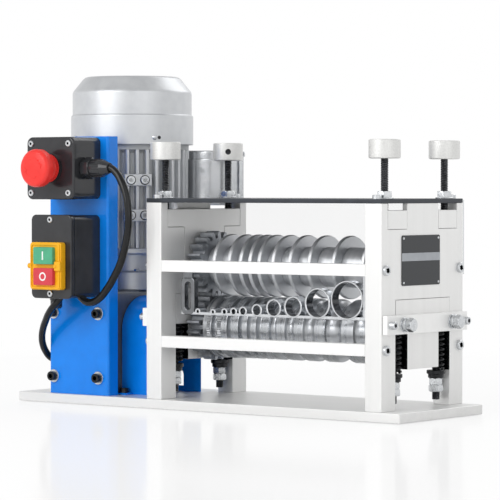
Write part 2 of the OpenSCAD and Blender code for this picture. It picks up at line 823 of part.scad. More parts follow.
// Blade carriers, adjusters and blade roller
module upper_carriers() {
    inner = -plate_t/2;
    color(alu) for (s = [-1, 1]) on_side(s) difference() {
        union() {
            block([inner, -stem_w/2, stem_z], [inner + carrier_t, stem_w/2, head_z + cut]);
            block([inner, -head_w/2, head_z], [inner + carrier_t, head_w/2, head_top]);
            for (e = [-1, 1])
                block([inner, e*ear_mid - ear_w/2, head_z], [plate_t/2, e*ear_mid + ear_w/2, head_top]);
        }
        x_rod(inner - cut, inner + bearing_inset + bearing_w, bearing_r + fit_gap, z = blade_z);
        for (e = [-1, 1])
            z_rod(head_top - adjuster_grip, head_top + cut, adjuster_r + run_gap, y = e*adjuster_y);
    }
}
module side_bearings(z) {
    inner = -plate_t/2 + bearing_inset;
    color(steel) for (s = [-1, 1]) on_side(s)
        x_ring(inner, inner + bearing_w, bearing_r, journal_r + run_gap, z);
}
module upper_bearings() {
    side_bearings(blade_z);
}
module adjuster(s, e) {
    on_side(s) translate([0, (s < 0 ? -e : e)*adjuster_y, 0]) {
        color(black_steel) z_rod(head_top - adjuster_grip + slide_gap, knob_z + adjuster_in_knob, adjuster_r);
        color(alu) difference() {
            union() {
                z_rod(knob_z + knob_edge, knob_z + knob_h - knob_edge, knob_r);
                z_rod(knob_z, knob_z + knob_h, knob_r - knob_edge);
            }
            z_rod(knob_z - cut, knob_z + adjuster_in_knob + fit_gap, adjuster_r + fit_gap);
            translate([0, 0, knob_z + adjuster_in_knob]) hex(adjuster_r*2, knob_h);
            x_rod(adjuster_r + knob_hole_wall, knob_r + cut, knob_hole_r, z = knob_z + knob_h/2);
        }
    }
}
module front_left_adjuster() {
    adjuster(-1, -1);
}
module front_right_adjuster() {
    adjuster(1, -1);
}
module rear_left_adjuster() {
    adjuster(-1, 1);
}
module rear_right_adjuster() {
    adjuster(1, 1);
}
module blade_shaft() {
    color(steel) {
        x_rod(x_left_in + shaft_step, x_right_in - shaft_step, shaft_r, z = blade_z);
        x_rod(x_left_in - bearing_w, x_left_in + shaft_step + cut, journal_r, z = blade_z);
        x_rod(x_right_in - shaft_step - cut, x_right_in + bearing_w, journal_r, z = blade_z);
    }
}
module blade_discs() {
    half = blade_t/2;
    color(steel) for (x = disc_x) translate([x, 0, blade_z]) rotate([0, 90, 0]) rotate_extrude()
        polygon([[shaft_r + fit_gap, -half], [blade_r - blade_edge, -half], [blade_r, -half + blade_edge],
            [blade_r, half - blade_edge], [blade_r - blade_edge, half], [shaft_r + fit_gap, half]]);
}
module blade_spacers() {
    ends = concat([gear_x + gear_w - blade_t/2], disc_x, [drum_right + blade_t/2]);
    color(steel) for (i = [0:len(ends) - 2])
        x_ring(ends[i] + blade_t/2, ends[i + 1] - blade_t/2, spacer_r, shaft_r + fit_gap, blade_z);
}
module roller_gear(z, turn) {
    color(steel) difference() {
        translate([gear_x, 0, z]) rotate([0, 90, 0]) linear_extrude(gear_w) rotate(turn)
            polygon(gear_outline(gear_module, gear_teeth, gear_play));
        x_rod(gear_x - cut, gear_x + gear_w + cut, shaft_r + fit_gap, z = z);
    }
}
module blade_gear() {
    roller_gear(blade_z, 0);
}

// Sprung blocks and feed roller
module lower_blocks() {
    inner = -plate_t/2;
    outer = plate_t/2 + slide_gap;
    color(alu) for (s = [-1, 1]) on_side(s) difference() {
        union() {
            block([inner, -block_w/2, seat_z], [outer, block_w/2, block_top]);
            block([inner, -tongue_w/2, base_t + tongue_z], [outer, tongue_w/2, seat_z + cut]);
        }
        x_rod(inner - cut, inner + bearing_inset + bearing_w, bearing_r + fit_gap, z = feed_z);
        if (s < 0) x_rod(inner, outer + cut, journal_r + journal_play, z = feed_z);
        for (e = [-1, 1]) {
            z_rod(seat_z - cut, block_top + cut, stud_r + stud_play, y = e*stud_y);
            x_rod(outer - crossbar_bolt_grip, outer + cut, crossbar_bolt_r + fit_gap, e*crossbar_bolt_y,
                crossbar_mid_z);
        }
    }
}
module lower_bearings() {
    side_bearings(feed_z);
}
module crossbars() {
    back = plate_t/2 + slide_gap;
    front = back + crossbar_t;
    color(bright) for (s = [-1, 1]) on_side(s) difference() {
        block([back, -crossbar_l/2, crossbar_z], [front, crossbar_l/2, crossbar_z + crossbar_h]);
        for (e = [-1, 1]) {
            x_rod(back - cut, front + cut, crossbar_bolt_r + fit_gap, e*crossbar_bolt_y, crossbar_mid_z);
            x_rod(back - cut, front + cut, screw_r + fit_gap, e*end_screw_y, crossbar_mid_z);
        }
        if (s < 0) x_rod(back - cut, front + cut, journal_r + 2*journal_play, z = feed_z);
    }
}
module crossbar_screws() {
    back = plate_t/2 + slide_gap;
    color(zinc) for (s = [-1, 1], e = [-1, 1]) on_side(s) {
        translate([back + crossbar_t, e*crossbar_bolt_y, crossbar_mid_z]) rotate([0, 90, 0]) {
            translate([0, 0, crossbar_collar_h]) hex(crossbar_bolt_w, crossbar_bolt_h);
            z_rod(0, crossbar_collar_h + cut, crossbar_collar_r);
            z_rod(slide_gap - crossbar_t - crossbar_bolt_grip, cut, crossbar_bolt_r);
        }
        translate([back + crossbar_t, e*end_screw_y, crossbar_mid_z]) rotate([0, 90, 0])
            socket_screw(screw_r, crossbar_t, end_screw_head_r, end_screw_head_h);
    }
}
module spring_studs() {
    color(black_steel) for (s = [-1, 1], e = [-1, 1]) on_side(s)
        z_rod(base_t + stud_tip, window_top + stud_grip, stud_r, y = e*stud_y);
}
module stud_nuts() {
    nut_top = spring_low - 2*seat_t;
    for (s = [-1, 1], e = [-1, 1]) on_side(s) translate([0, e*stud_y, 0]) difference() {
        union() {
            color(black_steel) z_rod(spring_low - seat_t, spring_low, washer_r);
            color(black_steel) z_rod(nut_top, spring_low - seat_t, washer_r - washer_step);
            color(zinc) translate([0, 0, nut_top - stud_nut_h]) hex(stud_nut_w, stud_nut_h);
            color(zinc) translate([0, 0, nut_top - 2*stud_nut_h]) rotate(second_nut_turn)
                hex(stud_nut_w, stud_nut_h);
        }
        z_rod(base_t, spring_low + cut, stud_r + fit_gap);
    }
}
module compression_springs() {
    color(black_steel) for (s = [-1, 1], e = [-1, 1]) on_side(s)
        translate([0, e*stud_y, spring_low + slide_gap])
            swept_tube(spring_path, spring_wire/2, spring_sides, [0, 0, 1]);
}
module feed_shaft() {
    color(steel) {
        x_rod(drum_left, drum_right, drum_core_r, z = feed_z);
        x_rod(x_left_in + shaft_step, drum_left + cut, shaft_r, z = feed_z);
        x_rod(feed_hub_x - hub_t, x_left_in + shaft_step + cut, journal_r, z = feed_z);
        x_rod(drum_right - cut, x_right_in + bearing_w, journal_r, z = feed_z);
    }
}
module feed_drums() {
    bore = drum_core_r + fit_gap;
    ends = concat([drum_left], disc_x, [drum_right]);
    gaps = concat([0], groove_w, [0]);
    color(steel) for (i = [0:len(ends) - 2]) {
        a = ends[i] + gaps[i]/2;
        b = ends[i + 1] - gaps[i + 1]/2;
        translate([0, 0, feed_z]) rotate([0, 90, 0]) rotate_extrude()
            polygon([[bore, a - groove_lean*gaps[i]], [feed_r - groove_edge, a], [feed_r, a + groove_edge],
                [feed_r, b - groove_edge], [feed_r - groove_edge, b], [bore, b + groove_lean*gaps[i + 1]]]);
    }
}
module feed_gear() {
    roller_gear(feed_z, 180/gear_teeth);
}
module coupling_hub(x, side, bore, turn) {
    face = x + side*hub_t;
    tip = face + side*jaw_l;
    wedge = [[0, 0], polar(2*hub_r, -jaw_angle/2), polar(2*hub_r, jaw_angle/2)];
    color(black_steel) translate([0, 0, feed_z]) difference() {
        union() {
            x_rod(min(x, face), max(x, face), hub_r);
            intersection() {
                x_ring(min(x, tip), max(x, tip), hub_r, jaw_in, 0);
                for (a = [turn, turn + 180]) translate([x - hub_r*2, 0, 0]) rotate([0, 90, 0]) rotate(a)
                    linear_extrude(hub_r*4) polygon(wedge);
            }
        }
        x_rod(min(x, face) - cut, max(x, face) + cut, bore + fit_gap);
    }
}
module feed_coupling_hub() {
    coupling_hub(feed_hub_x, -1, journal_r, 90);
}

// Worm gearbox and coupling
module output_shaft() {
    color(steel) x_rod(output_left, drive_hub_x + hub_t, output_r, z = feed_z);
}
module worm_wheel() {
    color(bronze) translate([0, 0, feed_z]) difference() {
        union() {
            translate([motor_x - wheel_w/2, 0, 0]) rotate([0, 90, 0]) linear_extrude(wheel_w)
                rotate(90 - 180/wheel_teeth)
                    polygon(wheel_outline(wheel_teeth, wheel_r - worm_depth - wheel_tip_clear,
                        wheel_r + worm_depth, wheel_root_half, wheel_tip_half));
            x_rod(motor_x - wheel_hub_w/2, motor_x + wheel_hub_w/2, wheel_hub_r);
        }
        x_rod(motor_x - wheel_hub_w, motor_x + wheel_hub_w, output_r + fit_gap);
    }
}
module drive_coupling_hub() {
    coupling_hub(drive_hub_x, 1, output_r, 0);
}
module coupling_guard() {
    hole_x = guard_l - guard_hole_in;
    hole_z = base_t + guard_hole_h;
    color(blue) translate([guard_x, 0, 0]) difference() {
        union() {
            x_rod(0, guard_l, guard_r, z = guard_mid_z);
            block([0, -guard_r, base_t], [guard_l, guard_r, guard_mid_z]);
            for (e = [-1, 1]) block([0, min(e*guard_r, e*(guard_r + guard_foot)), base_t],
                [guard_foot_l, max(e*guard_r, e*(guard_r + guard_foot)), base_t + guard_t]);
        }
        x_rod(-cut, guard_l + cut, guard_r - guard_t, z = guard_mid_z);
        block([-cut, guard_t - guard_r, base_t - cut], [guard_l + cut, guard_r - guard_t, guard_mid_z]);
        for (e = [-1, 1])
            z_rod(base_t - cut, base_t + guard_t + cut, bolt_r + fit_gap, guard_foot_l/2,
                e*(guard_r + guard_foot/2));
        y_rod(0, guard_r + cut, guard_hole_r, hole_x, hole_z);
        block([hole_x - guard_hole_r, 0, base_t + guard_hole_low],
            [hole_x + guard_hole_r, guard_r + cut, hole_z]);
    }
}
module gearbox_housing() {
    color(motor_paint) difference() {
        union() {
            block([gearbox_left, -gearbox_front, base_t], [gearbox_right, gearbox_back, gearbox_top]);
            for (x = bolt_x, z = bolt_z) y_rod(panel_t - panel_y, -gearbox_front + cut, boss_r, x, z);
        }
        block([panel_x - boss_r, -panel_y, base_t],
            [panel_x + panel_t + fit_gap, panel_flange - panel_y + fit_gap, gearbox_top]);
        x_rod(gearbox_left - cut, motor_x + cavity_end, gear_cavity_r, z = feed_z);
        x_rod(motor_x, gearbox_right + cut, output_r + run_gap, z = feed_z);
        z_rod(worm_low - worm_end_gap, gearbox_top + cut, worm_r + worm_side_gap, motor_x, motor_y);
        for (x = bolt_x, z = bolt_z)
            y_rod(-panel_y, -panel_y + panel_t + bolt_grip, bolt_r + fit_gap, x, z);
    }
}
module gearbox_cover() {
    color(motor_paint) difference() {
        union() {
            x_rod(gearbox_left - cover_t, gearbox_left, cover_r, z = feed_z);
            x_rod(gearbox_left - cut, gearbox_left + cover_spigot, gear_cavity_r - fit_gap, z = feed_z);
        }
        x_rod(output_left - slide_gap, gearbox_left + cover_spigot + cut, output_r + run_gap, z = feed_z);
    }
}

// Motor
module motor_end_shield() {
    color(motor_paint) translate([motor_x, motor_y, 0]) difference() {
        union() {
            z_rod(gearbox_top, gearbox_top + flange_t, flange_r);
            z_rod(gearbox_top, shield_top, neck_r);
            z_rod(shield_top - ledge_h, shield_top, ledge_r);
        }
        z_rod(gearbox_top - cut, shield_top + cut, motor_shaft_r + run_gap);
    }
}
module motor_housing() {
    color(motor_paint) translate([motor_x, motor_y, 0]) difference() {
        union() {
            translate([0, 0, shield_top]) linear_extrude(body_h) {
                circle(body_r);
                for (i = [0:fin_count - 1]) rotate(360*i/fin_count + 180/fin_count)
                    translate([fin_root_r, -fin_t/2]) square([fin_r - fin_root_r, fin_t]);
            }
            z_rod(body_top - web_h, body_top, ledge_r);
            z_rod(body_top - cut, body_top + spigot_h, cowl_r - cowl_wall - fit_gap);
            for (a = pad_turns, rise = pad_rise) translate([0, 0, shield_top + rise]) rotate(a)
                block([fin_root_r, -pad_w/2, 0], [fin_r + pad_depth, pad_w/2, pad_h]);
        }
        z_rod(shield_top - cut, body_top - web_h, bore_r);
        z_rod(shield_top, body_top + spigot_h + cut, motor_shaft_r + run_gap);
    }
}
module stator() {
    color(copper) translate([motor_x, motor_y, 0]) difference() {
        z_rod(rotor_z - stator_over, rotor_z + rotor_l + stator_over, bore_r - fit_gap);
        z_rod(rotor_z - stator_over - cut, rotor_z + rotor_l + stator_over + cut, stator_in);
    }
}
module fan_cowl() {
    skirt = cowl_z + cowl_skirt_h;
    band = skirt + cowl_band_h;
    inner = cowl_wall;
    color(motor_paint) translate([motor_x, motor_y, 0]) difference() {
        rotate_extrude() polygon([[cowl_r - inner, cowl_z], [cowl_r, cowl_z], [cowl_r, skirt],
            [cowl_band_r, skirt], [cowl_band_r, band], [cowl_top_r, cowl_top], [0, cowl_top],
            [0, cowl_top - inner],
            [cowl_top_r - inner/2, cowl_top - inner], [cowl_band_r - inner, band - inner/2],
            [cowl_band_r - inner, skirt - inner], [cowl_r - inner, skirt - inner]]);
        for (i = [0:vent_slots - 1]) rotate(360*i/vent_slots)
            block([vent_in, -vent_w/2, cowl_top - inner - cut],
                [cowl_top_r - vent_edge, vent_w/2, cowl_top + cut]);
    }
}
module rotor() {
    color(steel) translate([motor_x, motor_y, 0]) {
        z_rod(worm_high, fan_z + fan_h, motor_shaft_r);
        z_rod(rotor_z, rotor_z + rotor_l, rotor_r);
    }
}
module cooling_fan() {
    color(black_plastic) translate([motor_x, motor_y, 0]) difference() {
        union() {
            z_rod(fan_z, fan_z + fan_h, fan_hub_r);
            z_rod(fan_z, fan_z + fan_disc_t, fan_r - fan_disc_in);
            for (i = [0:fan_blades - 1]) rotate(360*i/fan_blades)
                block([fan_hub_r - fan_blade_sink, -fan_blade_t/2, fan_z],
                    [fan_r, fan_blade_t/2, fan_z + fan_h]);
        }
        z_rod(fan_z - cut, fan_z + fan_h + cut, motor_shaft_r + fit_gap);
    }
}
module worm() {
    root = worm_r - worm_depth - wheel_tip_clear;
    tip = worm_r + worm_depth;
    crest_half = 24;
    foot_half = 54;
    gap_half = 78;
    mesh_turn = 270 - 180*worm_l/worm_lead;
    thread = [for (s = [0:worm_starts - 1]) let (a = mesh_turn + 360*s/worm_starts)
        each [polar(root, a - gap_half), polar(root, a - foot_half), polar(tip, a - crest_half), polar(tip, a),
            polar(tip, a + crest_half), polar(root, a + foot_half), polar(root, a + gap_half)]];
    color(steel) translate([motor_x, motor_y, feed_z])
        linear_extrude(worm_l, center = true, twist = -360*worm_l/worm_lead, slices = 64, segments = 14)
            polygon(thread);
}
module at_terminal() {
    translate([motor_x, motor_y, terminal_z]) rotate(terminal_turn) children();
}
module terminal_box() {
    color(motor_paint) at_terminal() difference() {
        block([fin_root_r, -terminal_w/2 + terminal_rim, terminal_rim],
            [terminal_reach, terminal_w/2 - terminal_rim, terminal_h - terminal_rim]);
        z_rod(-cut, terminal_h + cut, fin_r + run_gap);
        block([terminal_reach - terminal_hollow, terminal_rim*2 - terminal_w/2, terminal_rim*2],
            [terminal_reach + cut, terminal_w/2 - terminal_rim*2, terminal_h - terminal_rim*2]);
    }
}
module terminal_cover() {
    r = terminal_cover_t - terminal_rim;
    color(motor_paint) at_terminal() {
        block([terminal_reach, -terminal_w/2, 0], [terminal_reach + terminal_rim, terminal_w/2, terminal_h]);
        translate([0, 0, terminal_rim]) linear_extrude(terminal_h - 2*terminal_rim) intersection() {
            translate([terminal_reach, -terminal_w/2]) square([terminal_cover_t, terminal_w]);
            union() {
                translate([terminal_reach, r - terminal_w/2]) square([terminal_cover_t, terminal_w - 2*r]);
                for (e = [-1, 1]) translate([terminal_reach + terminal_rim, e*(terminal_w/2 - r)]) circle(r);
            }
        }
    }
}

// Control panel, switches and leads
module control_panel() {
    color(blue) difference() {
        union() {
            block([panel_x, -panel_y, base_t], [panel_x + panel_w, panel_t - panel_y, panel_top]);
            for (x = [panel_x, panel_x + panel_w - panel_t])
                block([x, -panel_y, base_t], [x + panel_t, panel_flange - panel_y, panel_top]);
        }
        for (x = bolt_x, z = bolt_z) y_rod(-panel_y - cut, panel_t - panel_y + cut, bolt_r + fit_gap, x, z);
    }
}
module at_corner(x, z) {
    translate([estop_x + x*(estop_w/2 - corner_in), 0, estop_mid_z + z*(estop_w/2 - corner_in)]) children();
}
module estop_box() {
    low = [estop_x - estop_w/2, estop_lid_back, estop_mid_z - estop_w/2];
    high = [estop_x + estop_w/2, -panel_y, estop_mid_z + estop_w/2];
    wall = [box_wall, box_wall, box_wall];
    post_mid = estop_w/2 - corner_post/2;
    color(black_plastic) difference() {
        round_box(low, high, box_round);
        difference() {
            round_box(low + [box_wall, -cut, box_wall], high - wall, box_round - box_wall/2);
            for (x = [-1, 1], z = [-1, 1]) translate([estop_x + x*post_mid, -panel_y, estop_mid_z + z*post_mid])
                block([-corner_post/2, estop_lid_back + panel_y - cut, -corner_post/2],
                    [corner_post/2, 0, corner_post/2]);
        }
        for (x = [-1, 1], z = [-1, 1]) at_corner(x, z)
            y_rod(estop_lid_back - cut, estop_lid_back + box_screw_grip, box_screw_r + fit_gap);
        x_rod(high[0] - box_wall - cut, high[0] + cut, gland_hole_r, estop_gland_y, estop_mid_z);
    }
}
module estop_lid() {
    low = [estop_x - estop_w/2, estop_front, estop_mid_z - estop_w/2];
    high = [estop_x + estop_w/2, estop_lid_back, estop_mid_z + estop_w/2];
    color(black_plastic) difference() {
        round_box(low, high, box_round);
        y_rod(estop_front - cut, estop_lid_back + cut, collar_fit_r, estop_x, estop_mid_z);
        for (x = [-1, 1], z = [-1, 1]) at_corner(x, z)
            y_rod(estop_front - cut, estop_lid_back + cut, box_screw_r + fit_gap);
    }
}
module estop_collar() {
    color(black_plastic) difference() {
        union() {
            y_rod(estop_front - collar_h, estop_front, collar_r, estop_x, estop_mid_z);
            y_rod(estop_front - cut, estop_lid_back, collar_fit_r - fit_gap, estop_x, estop_mid_z);
        }
        y_rod(estop_front - collar_h - cut, estop_lid_back + cut, estop_stem_r + run_gap, estop_x, estop_mid_z);
    }
}
module estop_plunger() {
    color(black_plastic) difference() {
        y_rod(estop_cap_y + slide_gap, estop_lid_back + plunger_end, estop_stem_r, estop_x, estop_mid_z);
        y_rod(estop_cap_y - cut, estop_cap_y + estop_pin_l + cut, estop_pin_r + run_gap, estop_x, estop_mid_z);
    }
}
module estop_button() {
    rim = estop_r - estop_cap_edge;
    color(signal_red) {
        translate([estop_x, estop_cap_y, estop_mid_z]) rotate([90, 0, 0]) rotate_extrude()
            polygon([[0, 0], [rim, 0], [estop_r, estop_cap_edge], [estop_r, estop_cap_t - estop_dome],
                [rim, estop_cap_t - estop_cap_edge], [estop_r - estop_dome, estop_cap_t - estop_cap_edge/4],
                [estop_r/2, estop_cap_t], [0, estop_cap_t]]);
        y_rod(estop_cap_y - cut, estop_cap_y + estop_pin_l, estop_pin_r, estop_x, estop_mid_z);
    }
}
module switch_box() {
    low = [switch_x - switch_w/2, switch_front, switch_z];
    high = [switch_x + switch_w/2, -panel_y, switch_z + switch_h];
    wall = [box_wall, box_wall, box_wall];
    color(black_plastic) difference() {
        round_box(low, high, box_round);
        round_box(low + wall, high - wall, box_round - box_wall/2);
        block([switch_frame_x - switch_opening_w/2, switch_front - cut, switch_frame_z - switch_opening_h/2],
            [switch_frame_x + switch_opening_w/2, switch_front + box_wall + cut,
                switch_frame_z + switch_opening_h/2]);
        for (z = switch_screw_z)
            y_rod(switch_front - cut, switch_front + box_wall + cut, box_screw_r + fit_gap, switch_frame_x, z);
        z_rod(switch_z - cut, switch_z + box_wall + cut, estop_cord_r, inlet_x, inlet_y);
    }
}
module switch_frame() {
    front = switch_front - switch_frame_t;
    color(signal_yellow) difference() {
        round_box([switch_frame_x - switch_frame_w/2, front, switch_frame_z - switch_frame_h/2],
            [switch_frame_x + switch_frame_w/2, switch_front, switch_frame_z + switch_frame_h/2],
            switch_frame_round);
        for (z = button_mid)
            block([switch_frame_x - button_w/2 - slide_gap, front - cut, z - button_h/2 - slide_gap],
                [switch_frame_x + button_w/2 + slide_gap, switch_front + cut, z + button_h/2 + slide_gap]);
    }
}
module push_button(z, colour) {
    front = switch_front - switch_frame_t - button_out;
    half_w = button_w/2 + button_flange;
    half_h = button_h/2 + button_flange;
    color(colour) translate([switch_frame_x, 0, z]) {
        block([-button_w/2, front, -button_h/2], [button_w/2, switch_front + button_base, button_h/2]);
        block([-half_w, switch_front + slide_gap, -half_h], [half_w, switch_front + button_flange_t, half_h]);
        block([-button_tail_w/2, switch_front, -button_tail_w/2],
            [button_tail_w/2, switch_front + button_tail, button_tail_w/2]);
    }
}
module start_button() {
    push_button(button_mid[0], signal_green);
}
module stop_button() {
    push_button(button_mid[1], signal_red);
}
module contact_blocks() {
    back = -panel_y - box_wall;
    color(contact_grey) {
        translate([switch_frame_x, 0, switch_frame_z])
            block([-contact_w/2, switch_front + button_tail + button_travel + contact_gap, -contact_h/2],
                [contact_w/2, back, contact_h/2]);
        translate([estop_x, 0, estop_mid_z])
            block([-estop_contact_w/2, estop_lid_back + plunger_end + estop_travel + contact_gap,
                -estop_contact_w/2], [estop_contact_w/2, back, estop_contact_w/2]);
    }
}
module box_screw(length) {
    rotate([90, 0, 0]) socket_screw(box_screw_r, length, box_screw_head_r, box_screw_head_h);
}
module panel_screws() {
    color(zinc) {
        for (x = [-1, 1], z = [-1, 1]) at_corner(x, z) translate([0, estop_front, 0])
            box_screw(estop_lid_t + box_screw_grip - screw_end_gap);
        for (z = switch_screw_z) translate([switch_frame_x, switch_front, z])
            box_screw(box_wall + box_screw_short);
    }
    for (x = bolt_x, z = bolt_z) translate([x, -panel_y, z]) rotate([90, 0, 0]) {
        color(zinc) cylinder(h = bolt_washer_t, r = bolt_washer_r);
        color(black_steel) translate([0, 0, bolt_washer_t])
            socket_screw(bolt_r, bolt_washer_t + panel_t + bolt_grip - screw_end_gap, bolt_head_r, bolt_head_h);
    }
    color(black_steel) for (e = [-1, 1])
        translate([guard_x + guard_foot_l/2, e*(guard_r + guard_foot/2), base_t + guard_t])
            socket_screw(bolt_r, guard_t, bolt_head_r, bolt_head_h);
}
module gland(l, r, cord_r, nut) {
    difference() {
        union() {
            hex(2*r/cos(30) - gland_flat, nut);
            cylinder(h = l - gland_dome + cut, r = r - gland_wall);
            translate([0, 0, l - gland_dome])
                cylinder(h = gland_dome, r1 = r - gland_wall, r2 = cord_r + gland_wall);
        }
        translate([0, 0, -cut]) cylinder(h = l + 2*cut, r = cord_r + fit_gap);
    }
}
module cord_glands() {
    color(black_plastic) {
        translate([estop_x + estop_w/2, estop_gland_y, estop_mid_z]) rotate([0, 90, 0])
            gland(gland_l - gland_end_gap, gland_r, estop_cord_r, gland_nut);
        translate([inlet_x, inlet_y, switch_z]) rotate([180, 0, 0]) difference() {
            cylinder(h = inlet_l, r = inlet_r);
            translate([0, 0, inlet_l/2]) cylinder(h = inlet_l, r = estop_cord_r);
        }
        translate([motor_x, motor_y, motor_gland_z]) difference() {
            rotate(motor_gland_turn) x_rod(0, neck_r + motor_gland_l, inlet_r);
            z_rod(-inlet_r - cut, inlet_r + cut, neck_r + fit_gap);
        }
    }
}
module estop_cord() {
    color(black_plastic) swept_tube(estop_cord_route, estop_cord_r, cord_sides, [0, 1, 0]);
}
module motor_cord() {
    color(black_plastic) swept_tube(motor_cord_route, motor_cord_r, cord_sides, [0, 1, 0]);
}

base_plate();
left_end_plate();
right_end_plate();
tie_bars();
frame_screws();
top_plate();
lock_nuts();
rear_guard();
wire_guide();
upper_carriers();
upper_bearings();
front_left_adjuster();
front_right_adjuster();
rear_left_adjuster();
rear_right_adjuster();
lower_blocks();
lower_bearings();
crossbars();
crossbar_screws();
spring_studs();
stud_nuts();
compression_springs();
blade_shaft();
blade_discs();
blade_spacers();
blade_gear();
feed_shaft();
feed_drums();
feed_gear();
feed_coupling_hub();
output_shaft();
worm_wheel();
drive_coupling_hub();
coupling_guard();
gearbox_housing();
gearbox_cover();
motor_end_shield();
motor_housing();
stator();
fan_cowl();
rotor();
cooling_fan();
worm();
terminal_box();
terminal_cover();
control_panel();
panel_screws();
estop_box();
estop_lid();
estop_collar();
estop_plunger();
estop_button();
switch_box();
switch_frame();
start_button();
stop_button();
contact_blocks();
cord_glands();
estop_cord();
motor_cord();
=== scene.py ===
import math

import bmesh
import bpy
from mathutils import Matrix, Vector


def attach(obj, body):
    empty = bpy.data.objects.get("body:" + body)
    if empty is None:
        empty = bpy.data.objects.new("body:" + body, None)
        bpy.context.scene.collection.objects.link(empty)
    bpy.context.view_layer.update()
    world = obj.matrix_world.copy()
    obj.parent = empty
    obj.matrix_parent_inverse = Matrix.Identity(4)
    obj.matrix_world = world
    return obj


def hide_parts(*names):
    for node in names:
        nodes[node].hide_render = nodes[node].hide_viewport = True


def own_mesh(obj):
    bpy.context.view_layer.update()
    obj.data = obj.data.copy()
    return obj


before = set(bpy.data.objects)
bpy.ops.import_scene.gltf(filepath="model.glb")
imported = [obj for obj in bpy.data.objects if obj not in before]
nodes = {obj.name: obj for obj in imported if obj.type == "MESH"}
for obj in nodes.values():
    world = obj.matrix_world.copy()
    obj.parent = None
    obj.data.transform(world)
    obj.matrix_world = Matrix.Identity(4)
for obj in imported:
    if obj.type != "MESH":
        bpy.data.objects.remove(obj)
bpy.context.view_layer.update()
millimetre = 0.001  # every size below is in millimetres until a piece is finished
print("frame loaded:", len(nodes), "nodes")

# the camera stands where the photo was taken from; its place is in metres
cameraView = {"at": (1.7756, -2.3117, 0.2322), "tilt": 88.688, "turn": 37.392, "lens": 199.57, "sensor": 36,
              "far": 60}
cameraData = bpy.data.cameras.new("photo_camera")
cameraData.lens = cameraView["lens"]
cameraData.sensor_width = cameraView["sensor"]
cameraData.clip_end = cameraView["far"]
camera = bpy.data.objects.new("photo_camera", cameraData)
camera.location = cameraView["at"]
camera.rotation_euler = (math.radians(cameraView["tilt"]), 0, math.radians(cameraView["turn"]))
bpy.context.collection.objects.link(camera)
bpy.context.scene.camera = camera
bpy.context.scene.view_settings.view_transform = "Standard"


def hexColor(text):
    parts = [int(text[i:i + 2], 16) / 255 for i in (1, 3, 5)]
    return [p / 12.92 if p <= 0.04045 else ((p + 0.055) / 1.055) ** 2.4 for p in parts] + [1.0]


# sets a shader node's inputs, or links them where another node's output is given
def feed(tree, node, inputs):
    for socket, value in inputs.items():
        if isinstance(value, bpy.types.NodeSocket):
            tree.links.new(value, node.inputs[socket])
        else:
            node.inputs[socket].default_value = value
    return node


def addNode(tree, kind, inputs, operation=None):
    node = tree.nodes.new("ShaderNode" + kind)
    if operation:
        node.operation = operation
    return feed(tree, node, inputs)


def joined(tree, operation, first, second):
    return addNode(tree, "Math", {0: first, 1: second}, operation).outputs["Value"]


def blankFinish(name):
    finish = bpy.data.materials.new(name)
    finish.use_nodes = True
    return finish, finish.node_tree, finish.node_tree.nodes["Principled BSDF"]


